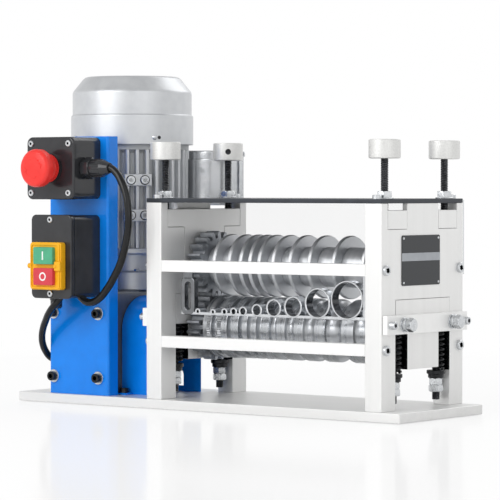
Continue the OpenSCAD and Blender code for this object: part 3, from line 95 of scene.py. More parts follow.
# each finish: tint, shade, metallic, roughness from and to, mottle scale, grain scale, bump
looks = {
    "milled_aluminium": ("#eeeeed", "#e9e9e8", 0.35, (0.36, 0.44), 90, 900, 0.04),
    "base_aluminium": ("#ebebea", "#e3e3e2", 0.35, (0.32, 0.42), 90, 900, 0.04),
    "bright_bar": ("#f6f6f5", "#f1f1f0", 0.25, (0.32, 0.4), 90, 900, 0.03),
    "turned_steel": ("#dcdde0", "#cccfd2", 0.65, (0.28, 0.38), 260, 1400, 0.05),
    "drum_steel": ("#c0c2c5", "#aeb1b5", 0.9, (0.24, 0.34), 260, 1400, 0.05),
    # dark_steel_painted_shade is a darker steel: painted shade inside the wire guide's tubes and on the walls
    # beside the springs, and the loop tab's dark steel
    "dark_steel_painted_shade": ("#838588", "#75777a", 1, (0.1, 0.2), 120, 900, 0.05),
    "polished_steel": ("#dcdee1", "#cdd0d3", 1, (0.08, 0.16), 120, 900, 0.02),
    "gear_steel": ("#b2b5ba", "#9a9ea4", 0.8, (0.32, 0.44), 200, 900, 0.08),
    "satin_knob": ("#e2e2e0", "#d4d4d2", 0.4, (0.34, 0.46), 700, 1500, 0.16),
    "zinc_screws": ("#d8dadc", "#c2c5c8", 0.9, (0.22, 0.34), 220, 900, 0.05),
    "black_oxide": ("#303134", "#1c1d1f", 0.6, (0.24, 0.36), 200, 900, 0.08),
    "black_spring": ("#242527", "#141516", 0.7, (0.12, 0.2), 200, 900, 0.04),
    "dark_thread": ("#5a5b5e", "#333437", 0.85, (0.2, 0.32), 200, 900, 0.08),
    "dark_plate": ("#30353d", "#292d34", 0.2, (0.32, 0.44), 90, 1200, 0.06),
    "cast_silver": ("#cfd1d3", "#c6c8cb", 0.7, (0.34, 0.44), 90, 1100, 0.1),
    "cast_gloss": ("#cdcfd1", "#c4c6c9", 0.8, (0.18, 0.26), 90, 1100, 0.06),
    # cast_shadow is painted shade, a darker casting for the motor's core between the fins
    "cast_shadow": ("#b4b6b8", "#a8aaac", 0.4, (0.46, 0.58), 120, 1100, 0.2),
    # cast_painted_shade is painted shade: the whole gearbox is darkened to stand for the shade in the niche
    # behind the panel
    "cast_painted_shade": ("#7d7f82", "#707275", 0.6, (0.38, 0.5), 90, 900, 0.14),
    "blue_coat": ("#0688f2", "#0480e8", 0, (0.16, 0.24), 60, 700, 0.1),
    "black_plastic": ("#303134", "#28292c", 0, (0.12, 0.2), 60, 2200, 0.04),
    "cable_sheath": ("#131416", "#0e0f10", 0, (0.1, 0.16), 120, 900, 0.03),
    "red_plastic": ("#f33a34", "#e8332e", 0, (0.28, 0.4), 70, 1500, 0.05),
    "stop_red": ("#d8454f", "#cc3c46", 0, (0.28, 0.4), 70, 1500, 0.05),
    "yellow_plastic": ("#f6b71a", "#efad14", 0, (0.3, 0.42), 70, 1500, 0.06),
    "green_plastic": ("#4fae85", "#459f78", 0, (0.28, 0.4), 70, 1500, 0.05),
    "white_mark": ("#f6f6f4", "#ecece8", 0, (0.34, 0.44), 90, 1500, 0.04),
    "plate_ink": ("#26292e", "#1f2226", 0, (0.3, 0.4), 90, 1500, 0.05),
    "grey_band": ("#a9adb2", "#9ca0a6", 0, (0.34, 0.44), 90, 1500, 0.05),
    "bronze": ("#b08d57", "#96733f", 1, (0.3, 0.44), 150, 900, 0.08),
    "winding": ("#a86a3d", "#7d4a28", 0.4, (0.36, 0.5), 300, 900, 0.2),
    "clear_sheet": ("#f6f9f9", "#f1f5f5", 0, (0.03, 0.07), 20, 0, 0),
    "clear_edge": ("#a9b2b5", "#a2abae", 0, (0.08, 0.16), 20, 0, 0),
}
alongX = (0.03, 1, 1)  # drawn lines along the bars and plates
alongZ = (1, 1, 0.03)
roundX = (1, 0.05, 0.05)  # turned lines round the rollers
roundZ = (0.05, 0.05, 1)
stretches = {"milled_aluminium": alongZ, "base_aluminium": alongX, "bright_bar": alongX,
             "turned_steel": roundX, "drum_steel": roundX, "winding": roundZ}
shines = {"blue_coat": 0.4, "cable_sheath": 0.35, "red_plastic": 0.35, "stop_red": 0.35,
          "yellow_plastic": 0.35}
opacities = {"clear_sheet": 0.06, "clear_edge": 0.5}
mottleSpan = (0.3, 0.7)  # the stretch of the noise over which a finish drifts
rangeSockets = ("From Min", "From Max", "To Min", "To Max")
bumpDepth = 0.0002


# one finish: a base colour that drifts between shade and tint, roughness that drifts with it, and a fine bump
def makeFinish(name, tint, shade, metallic, rough, mottleScale, grainScale, bumpStrength):
    finish, tree, shader = blankFinish(name)
    place = addNode(tree, "TexCoord", {}).outputs["Object"]
    stretch = stretches.get(name, (1, 1, 1))
    spread = addNode(tree, "Mapping", {"Vector": place, "Scale": stretch}).outputs["Vector"]
    mottle = addNode(tree, "TexNoise", {"Vector": spread, "Scale": mottleScale, "Detail": 5}).outputs["Fac"]
    ramp = addNode(tree, "ValToRGB", {"Fac": mottle})
    for stop, at, color in zip(ramp.color_ramp.elements, mottleSpan, (shade, tint)):
        stop.position = at
        stop.color = hexColor(color)
    drift = addNode(tree, "MapRange", {"Value": mottle, **dict(zip(rangeSockets, mottleSpan + rough))})
    feed(tree, shader, {"Base Color": ramp.outputs["Color"], "Roughness": drift.outputs["Result"],
                        "Metallic": metallic, "Specular IOR Level": shines.get(name, 0.5),
                        "Alpha": opacities.get(name, 1)})
    if bumpStrength:
        grain = addNode(tree, "TexNoise", {"Vector": spread, "Scale": grainScale, "Detail": 3}).outputs["Fac"]
        bump = addNode(tree, "Bump", {"Strength": bumpStrength, "Distance": bumpDepth, "Height": grain})
        feed(tree, shader, {"Normal": bump.outputs["Normal"]})
    return finish


finishes = {name: makeFinish(name, *look) for name, look in looks.items()}
print("finishes made:", len(finishes))

estopLead = {"radius": 4, "body": "frame", "route": [
    (-112, -95, 251.5), (-103, -95, 251.5), (-95, -95, 247), (-88, -95, 238), (-82, -95, 225),
    (-79, -95, 210), (-78, -95, 195), (-80, -95, 180), (-84, -95, 165), (-90, -95, 150), (-98, -95, 137),
    (-108, -95, 124), (-119, -95, 114), (-130, -95, 110), (-138, -95, 111.5), (-145, -95, 117)]}
motorLead = {"radius": 3.75, "body": "frame", "route": [
    (-168, -98, 117), (-172, -98.5, 111), (-179, -99, 104.5), (-188, -96, 97), (-197, -91, 88.5),
    (-205, -86, 80), (-211, -81, 71), (-215, -75, 62), (-217, -68, 54), (-218.5, -60, 48), (-220.5, -50, 45),
    (-223, -40, 47), (-226, -30, 55), (-229, -21, 68), (-232, -12, 84), (-235, -4, 102), (-238, 2, 118),
    (-240, 6, 132), (-239, 8, 142), (-235, 9, 148), (-227, 12, 150)]}


def layLead(name, node, lead):
    points = [Vector(p) * millimetre for p in lead["route"]]
    curve = bpy.data.curves.new(name, "CURVE")
    curve.dimensions = "3D"
    curve.bevel_depth = lead["radius"] * millimetre
    curve.bevel_resolution = 5
    curve.resolution_u = 8
    curve.use_fill_caps = True
    spline = curve.splines.new("BEZIER")
    spline.bezier_points.add(len(points) - 1)
    for knot, point in zip(spline.bezier_points, points):
        knot.co = point
        knot.handle_left_type = "AUTO"
        knot.handle_right_type = "AUTO"
    curve.materials.append(finishes["cable_sheath"])
    piece = bpy.data.objects.new(name, curve)
    bpy.context.collection.objects.link(piece)
    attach(piece, lead["body"])
    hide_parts(node)


layLead("estop_lead", "estop_cord", estopLead)
layLead("motor_lead", "motor_cord", motorLead)
print("camera and leads placed")

# shapes and turns that repeat
turnX = Matrix.Rotation(math.pi / 2, 4, "Y")  # Z to +X
turnY = Matrix.Rotation(-math.pi / 2, 4, "X")  # Z to +Y
turnFront = Matrix.Rotation(math.pi / 2, 4, "X")  # Z to -Y
turnDown = Matrix.Rotation(math.pi, 4, "X")  # Z to -Z
halfTurn = Matrix.Rotation(math.pi, 4, "Z")
noTurn = Matrix.Identity(4)
both = (-1, 1)  # left and right, front and rear, or low and high


def spinZ(degrees):
    return Matrix.Rotation(math.radians(degrees), 4, "Z")


def polar(radius, degrees, u=0, v=0):
    a = math.radians(degrees)
    return u + radius * math.cos(a), v + radius * math.sin(a)


def arc(radius, start, sweep, steps, u=0, v=0):
    return [polar(radius, start + sweep * i / steps, u, v) for i in range(steps + 1)]


def span(mid, size):
    return mid - size / 2, mid + size / 2


def mirrored(points):
    return points + [(-u, v) for u, v in reversed(points)]


def roundOutline(uSpan, vSpan, radius, steps=6, inset=0):
    u0, u1 = uSpan[0] + inset, uSpan[1] - inset
    v0, v1 = vSpan[0] + inset, vSpan[1] - inset
    corners = ((u1 - radius, v1 - radius), (u0 + radius, v1 - radius), (u0 + radius, v0 + radius),
               (u1 - radius, v0 + radius))
    return [spot for i, (u, v) in enumerate(corners) for spot in arc(radius, 90 * i, 90, steps, u, v)]


# rounds the edges that turn by more than the angle, apart from those at one place along an axis
def roundOff(bm, width, segments=2, angle=30, sharp=None):
    edges = [e for e in bm.edges if len(e.link_faces) == 2 and e.calc_face_angle() > math.radians(angle)]
    if sharp:
        along, at = sharp
        edges = [e for e in edges if not all(abs(v.co[along] - at) < 0.01 for v in e.verts)]
    bmesh.ops.bevel(bm, geom=edges, offset=width, offset_type="OFFSET", segments=segments, profile=0.5,
                    affect="EDGES", material=-1, clamp_overlap=True)
    return bm


def roundBlock(low, high, edge=0.4, segments=2):
    bm = bmesh.new()
    bmesh.ops.create_cube(bm, size=1)
    bmesh.ops.scale(bm, vec=[h - l for l, h in zip(low, high)], verts=bm.verts)
    bmesh.ops.translate(bm, vec=[(h + l) / 2 for l, h in zip(low, high)], verts=bm.verts)
    return roundOff(bm, edge, segments) if edge else bm


def thicken(bm, along, thick):
    pulled = bmesh.ops.extrude_face_region(bm, geom=bm.faces[:])["geom"]
    step = [0, 0, 0]
    step[along] = thick
    bmesh.ops.translate(bm, vec=step, verts=[g for g in pulled if isinstance(g, bmesh.types.BMVert)])
    bmesh.ops.recalc_face_normals(bm, faces=bm.faces)


# an outline in the plane across an axis, pulled along that axis; edges at the place sharpAt stay as cut
def prism(outline, axis, low, high, edge=0.4, segments=2, angle=30, sharpAt=None):
    bm = bmesh.new()
    along = "xyz".index(axis)
    bm.faces.new([bm.verts.new((*spot[:along], low, *spot[along:])) for spot in outline])
    thicken(bm, along, high - low)
    sharp = None if sharpAt is None else (along, sharpAt)
    return roundOff(bm, edge, segments, angle, sharp) if edge else bm


# a plate across Y with one opening: two outlines of equal count bridged, then given a thickness
def openPlate(outer, inner, low, high, edge):
    bm = bmesh.new()
    rings = []
    for outline in (outer, inner):
        verts = [bm.verts.new((u, low, v)) for u, v in outline]
        rings.append([bm.edges.new((a, b)) for a, b in zip(verts, verts[1:] + verts[:1])])
    bmesh.ops.bridge_loops(bm, edges=rings[0] + rings[1])
    thicken(bm, 1, high - low)
    return roundOff(bm, edge, 2, 40)


# a profile of (radius, height) spun round the Z axis; closed joins its last point to its first
def turned(profile, steps=64, closed=False):
    bm = bmesh.new()
    verts = [bm.verts.new((r, 0, h)) for r, h in profile]
    edges = [bm.edges.new(pair) for pair in zip(verts, verts[1:])]
    if closed:
        edges.append(bm.edges.new((verts[-1], verts[0])))
    bmesh.ops.spin(bm, geom=verts + edges, cent=(0, 0, 0), axis=(0, 0, 1), angle=math.tau, steps=steps,
                   use_merge=True)
    bmesh.ops.remove_doubles(bm, verts=bm.verts, dist=0.001)
    bmesh.ops.recalc_face_normals(bm, faces=bm.faces)
    return bm


def plug(radius, low, high, steps):
    return turned([(0, low), (radius, low), (radius, high), (0, high)], steps)


def ringTube(outer, inner, low, high, lip=0.4, steps=64):
    return turned([(inner, low + lip), (inner + lip, low), (outer - lip, low), (outer, low + lip),
                   (outer, high - lip), (outer - lip, high), (inner + lip, high), (inner, high - lip)], steps,
                  True)


# loops of (radius, height, flats) bridged one to the next, for round shapes that turn into hexagons
def stacked(loops, count=24, closed=False):
    bm = bmesh.new()
    rings = []
    for radius, height, flats in loops:
        made = bmesh.ops.create_circle(bm, segments=count, radius=radius)["verts"]
        if flats:
            for v in made:
                a = math.atan2(v.co.y, v.co.x) % (math.tau / flats) - math.pi / flats
                v.co *= math.cos(math.pi / flats) / math.cos(a)
        bmesh.ops.translate(bm, vec=(0, 0, height), verts=made)
        rings.append(list({e for v in made for e in v.link_edges}))
    for a, b in zip(rings, rings[1:]):
        bmesh.ops.bridge_loops(bm, edges=a + b)
    if closed:
        bmesh.ops.bridge_loops(bm, edges=rings[-1] + rings[0])
    else:
        bmesh.ops.edgeloop_fill(bm, edges=rings[0])
        bmesh.ops.edgeloop_fill(bm, edges=rings[-1])
    bmesh.ops.recalc_face_normals(bm, faces=bm.faces)
    return bm


socketFloor = 0.35  # height of a key socket's floor, as a share of its head


def socketHead(radius, height, key, chamfer=0.4):
    return stacked([(radius, 0, 0), (radius, height - chamfer, 0), (radius - chamfer, height, 0),
                    (key, height, 6), (key * 0.92, height - 0.3, 6), (key * 0.92, height * socketFloor, 6)])


def hexHead(corner, height):
    flat = 0.98 * corner * math.cos(math.pi / 6)
    return stacked([(flat, 0, 0), (corner, 0.12 * height, 6), (corner, 0.84 * height, 6), (flat, height, 0)])


def hexNut(corner, height, bore):
    flat = 0.98 * corner * math.cos(math.pi / 6)
    return stacked([(bore + 0.4, 0, 0), (flat, 0, 0), (corner, 0.12 * height, 6), (corner, 0.88 * height, 6),
                    (flat, height, 0), (bore + 0.4, height, 0), (bore, height - 0.4, 0), (bore, 0.4, 0)],
                   closed=True)


def threadRod(radius, low, high, pitch=1.25):
    root = radius - 0.32 * pitch
    start = low + 0.5
    turns = int((high - low - 1) / pitch)
    profile = [(0, low), (root, low)]
    for i in range(turns):
        z = start + i * pitch
        profile += [(root, z), (radius, z + 0.42 * pitch), (radius, z + 0.58 * pitch)]
    profile += [(root, start + turns * pitch), (root, high), (0, high)]
    return turned(profile, 28)


def moved(shape, at=(0, 0, 0), turn=noTurn):
    bmesh.ops.transform(shape, matrix=Matrix.Translation(at) @ turn, verts=shape.verts)
    return shape


# puts a copy of a shape into a piece, with the finish's place in the piece's list
def put(target, shape, at=(0, 0, 0), turn=noTurn, finish=0):
    copy = moved(shape.copy(), at, turn)
    for face in copy.faces:
        face.material_index = finish
    holder = bpy.data.meshes.new("holder")
    copy.to_mesh(holder)
    copy.free()
    target.from_mesh(holder)
    bpy.data.meshes.remove(holder)


# a socket head, with painted shade: a dark disc on the floor of its key socket
def putSocket(target, head, at, turn=noTurn, finish=0, shadeFinish=1):
    radius, height, key = head
    low = height * socketFloor
    put(target, socketHead(radius, height, key), at, turn, finish)
    put(target, stacked([(key * 0.9, low, 6), (key * 0.9, low + 0.1, 6)]), at, turn, shadeFinish)


# cuts the cutter's shape out of a shape and gives the result back as a new bmesh
def cutOut(shape, cutter):
    objects = []
    for name, source in (("blank", shape), ("cutter", cutter)):
        mesh = bpy.data.meshes.new(name)
        source.to_mesh(mesh)
        source.free()
        objects.append(bpy.data.objects.new(name, mesh))
        bpy.context.collection.objects.link(objects[-1])
    cutting = objects[0].modifiers.new("cut", "BOOLEAN")
    cutting.operation = "DIFFERENCE"
    cutting.solver = "EXACT"
    cutting.object = objects[1]
    bpy.context.view_layer.update()
    result = objects[0].evaluated_get(bpy.context.evaluated_depsgraph_get()).to_mesh()
    bm = bmesh.new()
    bm.from_mesh(result)
    for made in objects:
        bpy.data.objects.remove(made, do_unlink=True)
    return bm


# scales to metres, sets which edges shade smooth and hangs the piece on its body
def finishPiece(bm, name, body, finish, *replaced, slot=None, smooth=32):
    bmesh.ops.scale(bm, vec=(millimetre,) * 3, verts=bm.verts)
    for face in bm.faces:
        face.smooth = True
    for edge in bm.edges:
        edge.smooth = len(edge.link_faces) == 2 and edge.calc_face_angle() < math.radians(smooth)
    mesh = bpy.data.meshes.new(name)
    bm.to_mesh(mesh)
    bm.free()
    for entry in finish:
        mesh.materials.append(finishes[entry])
    piece = bpy.data.objects.new(name, mesh)
    bpy.context.collection.objects.link(piece)
    evened = piece.modifiers.new("even_shading", "WEIGHTED_NORMAL")
    evened.keep_sharp = True
    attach(piece, body)
    if replaced:
        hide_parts(*replaced)
    return piece


# frame
bladeAxis = 149.5
feedAxis = 84.5

basePlate = {"low": (-250, -75, 0), "high": (250, 75, 10), "edge": 0.9}
d = basePlate
finishPiece(roundBlock(d["low"], d["high"], d["edge"], 3), "machined_base", "frame", ["base_aluminium"],
            "base_plate", slot="machined_aluminium")

# window and stem are half width and height; ear is from, to and low
endPlate = {"mid": {-1: -62, 1: 217}, "half": 10, "pocket": 4.3, "deep": 73, "low": 10, "high": 215.5,
            "window": (48.5, 120), "stem": (34.3, 125.2), "ear": (28, 62, 189.7), "edge": 0.7,
            "polishFrom": 46}


def sideTurn(side):
    return halfTurn if side < 0 else noTurn


def outward(side):
    return sideTurn(side) @ turnX


# a shape drawn about the middle of the right end plate goes onto either plate
def putOnPlate(target, shape, side, y=0):
    put(target, shape, (endPlate["mid"][side], y, 0), sideTurn(side))


# the walls beside the springs are polished, so they mirror the black coils, and their darker tint is painted
# shade
def polishAndShadeSpringWalls(bm, wall, top):
    low = endPlate["polishFrom"]
    everything = bm.verts[:] + bm.edges[:] + bm.faces[:]
    bmesh.ops.bisect_plane(bm, geom=everything, plane_co=(0, 0, low), plane_no=(0, 0, 1))
    bm.normal_update()
    for face in bm.faces:
        spot = face.calc_center_median()
        if abs(face.normal.y) > 0.9 and abs(abs(spot.y) - wall) < 0.6 and low < spot.z < top:
            face.material_index = 1


def makeEndPlate(side, name, node):
    d = endPlate
    earIn, earOut, earLow = d["ear"]
    post = [(earOut, earLow), (earOut, d["high"]), (d["deep"], d["high"]), (d["deep"], d["low"]),
            (d["window"][0], d["low"]), d["window"]]
    outer = mirrored([(earIn, d["high"]), (earIn, earLow)] + post)
    inner = mirrored([d["stem"], (d["stem"][0], earLow)] + post)
    bm = bmesh.new()
    for outline, low, high in ((outer, d["pocket"], d["half"]), (inner, -d["half"], d["pocket"])):
        putOnPlate(bm, prism(outline, "x", low, high, d["edge"], sharpAt=d["pocket"]), side)
    polishAndShadeSpringWalls(bm, *d["window"])
    finishPiece(bm, name, "frame", ["milled_aluminium", "dark_steel_painted_shade"], node, slot="machined_aluminium")


makeEndPlate(-1, "left_plate_milled", "left_end_plate")
makeEndPlate(1, "right_plate_milled", "right_end_plate")

tieBar = {"x": (-52, 207), "y": 66, "z": (70.5, bladeAxis), "half": (7, 6), "edge": 0.5}
d = tieBar
halfDeep, halfTall = d["half"]
bm = bmesh.new()
for y in (-d["y"], d["y"]):
    for z in d["z"]:
        put(bm, roundBlock((d["x"][0], y - halfDeep, z - halfTall), (d["x"][1], y + halfDeep, z + halfTall),
                           d["edge"]))
finishPiece(bm, "drawn_tie_bars", "frame", ["bright_bar"], "tie_bars", slot="bright_bar")

# heads are radius, height and key
frameScrew = {"head": (5.2, 3, 2.9), "topHead": (4.7, 4, 2.7), "topY": 66.5, "topZ": 220,
              "tabX": (-28, 200.5), "tabY": -56, "tabHead": (4.5, 4, 2.5)}
d = frameScrew
bm = bmesh.new()
for side in both:
    mid = endPlate["mid"][side]
    for e in both:
        for z in tieBar["z"]:
            putSocket(bm, d["head"], (mid + side * endPlate["half"], e * tieBar["y"], z), outward(side))
        putSocket(bm, d["topHead"], (mid, e * d["topY"], d["topZ"]))
for x in d["tabX"]:
    putSocket(bm, d["tabHead"], (x, d["tabY"], tieBar["z"][1]), turnY)
finishPiece(bm, "frame_screw_heads", "frame", ["zinc_screws", "black_oxide"], "frame_screws",
            slot="zinc_screws")

topPlate = {"low": (-72, -73, 215.5), "high": (227, 73, 220), "edge": 0.6}
d = topPlate
finishPiece(roundBlock(d["low"], d["high"], d["edge"]), "dark_top_plate", "frame", ["dark_plate"],
            "top_plate", slot="dark_steel_plate")

# screw and knob are radius, low and high; nut is corner, height and low; key is radius and depth
adjuster = {"x": {"left": endPlate["mid"][-1], "right": endPlate["mid"][1]},
            "y": {"front": -53.5, "rear": 53.5}, "screw": (3.9, 195.8, 271.4), "pitch": 1.75,
            "knob": (16, 260, 279), "key": (3.9, 7.4), "nut": (8, 7.6, 220), "washer": (9.2, 1.2),
            "hole": (3.1, 6),
            "faces": {"front_left": 150, "front_right": 100, "rear_left": -52, "rear_right": 130}}
d = adjuster
corner, height, low = d["nut"]
bore = d["screw"][0] + 0.1
bm = bmesh.new()
for x in d["x"].values():
    for y in d["y"].values():
        put(bm, hexNut(corner, height, bore), (x, y, low))
        put(bm, ringTube(d["washer"][0], bore, 0, d["washer"][1], 0.3, 32), (x, y, low))
finishPiece(bm, "adjuster_lock_nuts", "frame", ["zinc_screws"], "lock_nuts", slot="zinc_screws")


def knobShape():
    r, low, high = adjuster["knob"]
    key, keyDeep = adjuster["key"]
    hole, holeFrom = adjuster["hole"]
    rim = [(r - 1.6, 0), (r - 0.5, 0.4), (r, 1.2)]
    loops = [(adjuster["screw"][0], low, 0)] + [(wide, low + rise, 0) for wide, rise in rim]
    loops += [(wide, high - rise, 0) for wide, rise in reversed(rim)]
    loops += [(key + 1.2, high, 0), (key + 0.5, high, 6), (key, high - 0.5, 6), (key, high - keyDeep, 6)]
    return cutOut(stacked(loops, 48), moved(plug(hole, holeFrom, r + 2, 24), (0, 0, (low + high) / 2), turnX))


for row, y in d["y"].items():
    for end, x in d["x"].items():
        bm = bmesh.new()
        put(bm, threadRod(*d["screw"], d["pitch"]), (x, y, 0), finish=1)
        face = spinZ(d["faces"][f"{row}_{end}"])
        put(bm, knobShape(), (x, y, 0), face)
        # painted shade: a black disc down inside the knob's side hole
        holeShade = Vector((x, y, sum(d["knob"][1:]) / 2)) + face @ Vector((d["knob"][0] - 4, 0, 0))
        put(bm, plug(d["hole"][0] - 0.05, 0, 0.4, 24), holeShade, face @ turnX, 2)
        body = f"{row}_{end}_adjuster"
        finishPiece(bm, f"{row}_{end}_knob", body, ["satin_knob", "dark_thread", "black_oxide"], body,
                    slot="satin_knob")
print("frame and adjusters made")

rearGuard = {"low": (-72, 73, 142.5), "high": (227, 75.4, 218.5), "edge": 0.4}
bm = roundBlock(rearGuard["low"], rearGuard["high"], rearGuard["edge"])
bm.normal_update()
for face in bm.faces:
    face.material_index = int(abs(face.normal.y) < 0.5)  # the edges look darker than the sheet
finishPiece(bm, "clear_rear_guard", "frame", ["clear_sheet", "clear_edge"], "rear_guard", slot="clear_guard")

namePlate = {"x": 227, "y": -4.5, "thick": 0.8, "half": 34, "z": (133.5, 183.7), "round": 2,
             "band": (158, 166), "rivet": 1.3, "rivetIn": 3}
d = namePlate
half, front, middle = d["half"], d["x"] + d["thick"], (0, d["y"], 0)
bm = bmesh.new()
put(bm, prism(roundOutline((-half, half), d["z"], d["round"]), "x", d["x"], front, 0.2, 1), middle)
put(bm, roundBlock((d["x"] + 0.2, -half, d["band"][0]), (front + 0.15, half, d["band"][1]), 0.1, 1), middle,
    finish=1)
rivet = turned([(0, 0), (d["rivet"], 0), (d["rivet"] * 0.8, 0.5), (0, 0.7)], 16)
for y in (d["y"] - half + d["rivetIn"], d["y"] + half - d["rivetIn"]):
    for z in (d["z"][0] + d["rivetIn"], d["z"][1] - d["rivetIn"]):
        put(bm, rivet, (front, y, z), turnX, 2)
finishPiece(bm, "blank_plate", "frame", ["plate_ink", "grey_band", "zinc_screws"], slot="dark_steel_plate")

# slot is width, low and high; loop is top, thickness, and the width, low and high of its opening
wireGuide = {"front": -59, "deep": 11.7, "z": (99, 102), "x": (-37, 206), "tabs": ((-37, -19), (195, 206)),
             "tabTop": 154.5, "tabThick": 3, "slot": (6.5, 106.5, 152.5), "wall": 2,
             "loop": (138, 7, 8, 104, 133), "at": (-15, 5, 20, 32, 44, 62, 83.5, 108, 138.5, 175),
             "outer": (7, 7, 8, 9, 10.5, 13.5, 19, 22.5, 31.5, 39.5)}
d = wireGuide
front, deep, low = d["front"], d["deep"], d["z"][0]
tubes = [(x, outer / 2) for x, outer in zip(d["at"], d["outer"])]
bores = bmesh.new()
for x, r in tubes:
    put(bores, plug(r - 0.3, -2, deep + 2, 40), (x, front, low + r), turnY)
bm = bmesh.new()
put(bm, cutOut(roundBlock((d["x"][0], front + 0.4, low), (d["x"][1], front + deep, d["z"][1])), bores))
leftTab, rightTab = d["tabs"]
wide, slotLow, slotHigh = d["slot"]
put(bm, openPlate(roundOutline(rightTab, (low, d["tabTop"]), 2.5),
                  roundOutline(span(sum(rightTab) / 2, wide), (slotLow, slotHigh), 3.2), front,
                  front + d["tabThick"], 0.5))
loopTop, loopThick, wide, slotLow, slotHigh = d["loop"]
put(bm, openPlate(roundOutline(leftTab, (low, loopTop), 6),
                  roundOutline(span(sum(leftTab) / 2, wide), (slotLow, slotHigh), wide / 2 - 0.1), front,
                  front + loopThick, 0.8), finish=1)
put(bm, roundBlock((leftTab[0] + 3, front, loopTop - 2), (leftTab[1] - 3, front + d["tabThick"], d["tabTop"]),
                   0.5), finish=1)
for x, r in tubes:
    put(bm, ringTube(r, r - d["wall"], 0, deep, 0.45, 56), (x, front, low + r), turnY)
bm.normal_update()
# painted shade: the faces inside the tubes take the darker steel
for face in bm.faces:
    spot = face.calc_center_median()
    for x, r in tubes:
        fromAxis = Vector((spot.x - x, 0, spot.z - low - r))
        if fromAxis.length < r - d["wall"] + 0.2 and fromAxis.dot(face.normal) < 0:
            face.material_index = 1
finishPiece(bm, "polished_wire_guide", "frame", ["polished_steel", "dark_steel_painted_shade"], "wire_guide",
            slot="polished_steel")
print("wire guide made")

# blade side
# head is half width, low and high; deep is back and front; bearing is the seat's radius and depth
carrier = {"stem": (34, 125.5), "head": (61.7, 190, 208.5), "ear": (28.3, 61.7), "deep": (-10, 4),
           "outer": 10, "bearing": (21, 12.5), "edge": 0.5}
d = carrier
headHalf, headLow, headHigh = d["head"]
back, front = d["deep"]
tee = mirrored([(headHalf, headHigh), (headHalf, headLow), (d["stem"][0], headLow), d["stem"]])
bm = bmesh.new()
for side in both:
    seat = moved(plug(d["bearing"][0], -1, d["bearing"][1], 64), (back, 0, bladeAxis), turnX)
    putOnPlate(bm, cutOut(prism(tee, "x", back, front, d["edge"]), seat), side)
    for e in both:
        y0, y1 = sorted(e * y for y in d["ear"])
        ear = [(y0, headLow), (y1, headLow), (y1, headHigh), (y0, headHigh)]
        putOnPlate(bm, prism(ear, "x", front - 0.3, d["outer"], d["edge"]), side)
finishPiece(bm, "blade_carriers", "upper_carriage", ["milled_aluminium"], "upper_carriers",
            slot="machined_aluminium")

bearing = {"outer": 21, "inner": 10.06, "width": 12, "rim": 3.4, "sink": 0.8, "fromMid": 9.5}


def makeBearings(name, body, node, z):
    d = bearing
    ro, ri, w, rim, sink = d["outer"], d["inner"], d["width"], d["rim"], d["sink"]
    ring = turned([(ri, 0.3), (ri + 0.3, 0), (ri + rim, 0), (ri + rim, sink), (ro - rim, sink), (ro - rim, 0),
                   (ro - 0.5, 0), (ro, 0.5), (ro, w - 0.5), (ro - 0.5, w), (ri + 0.3, w), (ri, w - 0.3)], 64,
                  True)
    bm = bmesh.new()
    for side in both:
        put(bm, ring, (endPlate["mid"][side] - side * d["fromMid"], 0, z), outward(side))
    finishPiece(bm, name, body, ["turned_steel"], node, slot="polished_steel")


makeBearings("blade_bearings", "upper_carriage", "upper_bearings", bladeAxis)
makeBearings("feed_bearings", "lower_carriage", "lower_bearings", feedAxis)

shaft = {"journal": 10, "seat": 15, "seatFrom": -50, "end": 219, "chamfer": 0.5, "lip": 0.4}


# a shaft from its left end to the bearing on the right; middle is what follows its seat's left edge
def shaftShape(start, middle, steps):
    r, c, end, lip = shaft["journal"], shaft["chamfer"], shaft["end"], shaft["lip"]
    seat = [(r, shaft["seatFrom"]), (shaft["seat"] - lip, shaft["seatFrom"]),
            (shaft["seat"], shaft["seatFrom"] + lip)]
    return turned([(0, start), (r - c, start), (r, start + c)] + seat + middle
                  + [(r, middle[-1][1]), (r, end - c), (r - c, end), (0, end)], steps)


bladeRoller = {"at": wireGuide["at"], "radius": 32.5, "half": 2.5, "edge": 0.9, "bore": 15.02, "spacer": 20.6,
               "ends": (-34.5, 205.5), "shaftFrom": -64, "seatTo": 205}
d = bladeRoller
middle = [(shaft["seat"], d["seatTo"] - shaft["lip"]), (shaft["seat"] - shaft["lip"], d["seatTo"])]
finishPiece(moved(shaftShape(d["shaftFrom"], middle, 64), (0, 0, bladeAxis), turnX), "blade_roller_shaft",
            "blade_roller", ["turned_steel"], "blade_shaft", slot="polished_steel")
h, r, e = d["half"], d["radius"], d["edge"]
half = [(d["bore"], -h), (r - 7, -h), (r - 6.4, 0.25 - h), (r - e, 0.25 - h), (r - 0.15, e - h),
        (r, e - h + 0.3)]
disc = turned(half + [(wide, -x) for wide, x in reversed(half)], 96, True)
bm = bmesh.new()
for x in d["at"]:
    put(bm, disc, (x, 0, bladeAxis), turnX)
finishPiece(bm, "disc_blades", "blade_roller", ["turned_steel"], "blade_discs", slot="polished_steel")
bm = bmesh.new()
stops = (d["ends"][0], *d["at"], d["ends"][1])
for a, b in zip(stops, stops[1:]):
    put(bm, ringTube(d["spacer"], d["bore"], a + h, b - h, 0.5, 72), (0, 0, bladeAxis), turnX)
finishPiece(bm, "blade_spacer_sleeves", "blade_roller", ["turned_steel"], "blade_spacers",
            slot="polished_steel")
print("blade roller made")

# feed side
feedRoller = {"x": (-30, 203), "radius": 32.5, "core": 27.6, "tube": 27.5, "edge": 0.6, "shaftFrom": -85,
              "grooves": (6, 5, 5, 6, 6.5, 9, 11, 14, 20, 22), "knurls": ((-23.6, -19.4), (-10, -5.2)),
              "ridges": 84, "ridge": (0.05, 0.5)}
d = feedRoller
left, right = d["x"]
middle = [(shaft["seat"], left), (d["tube"], left), (d["tube"], right)]
finishPiece(moved(shaftShape(d["shaftFrom"], middle, 72), (0, 0, feedAxis), turnX), "feed_roller_shaft",
            "feed_roller", ["turned_steel"], "feed_shaft", slot="polished_steel")


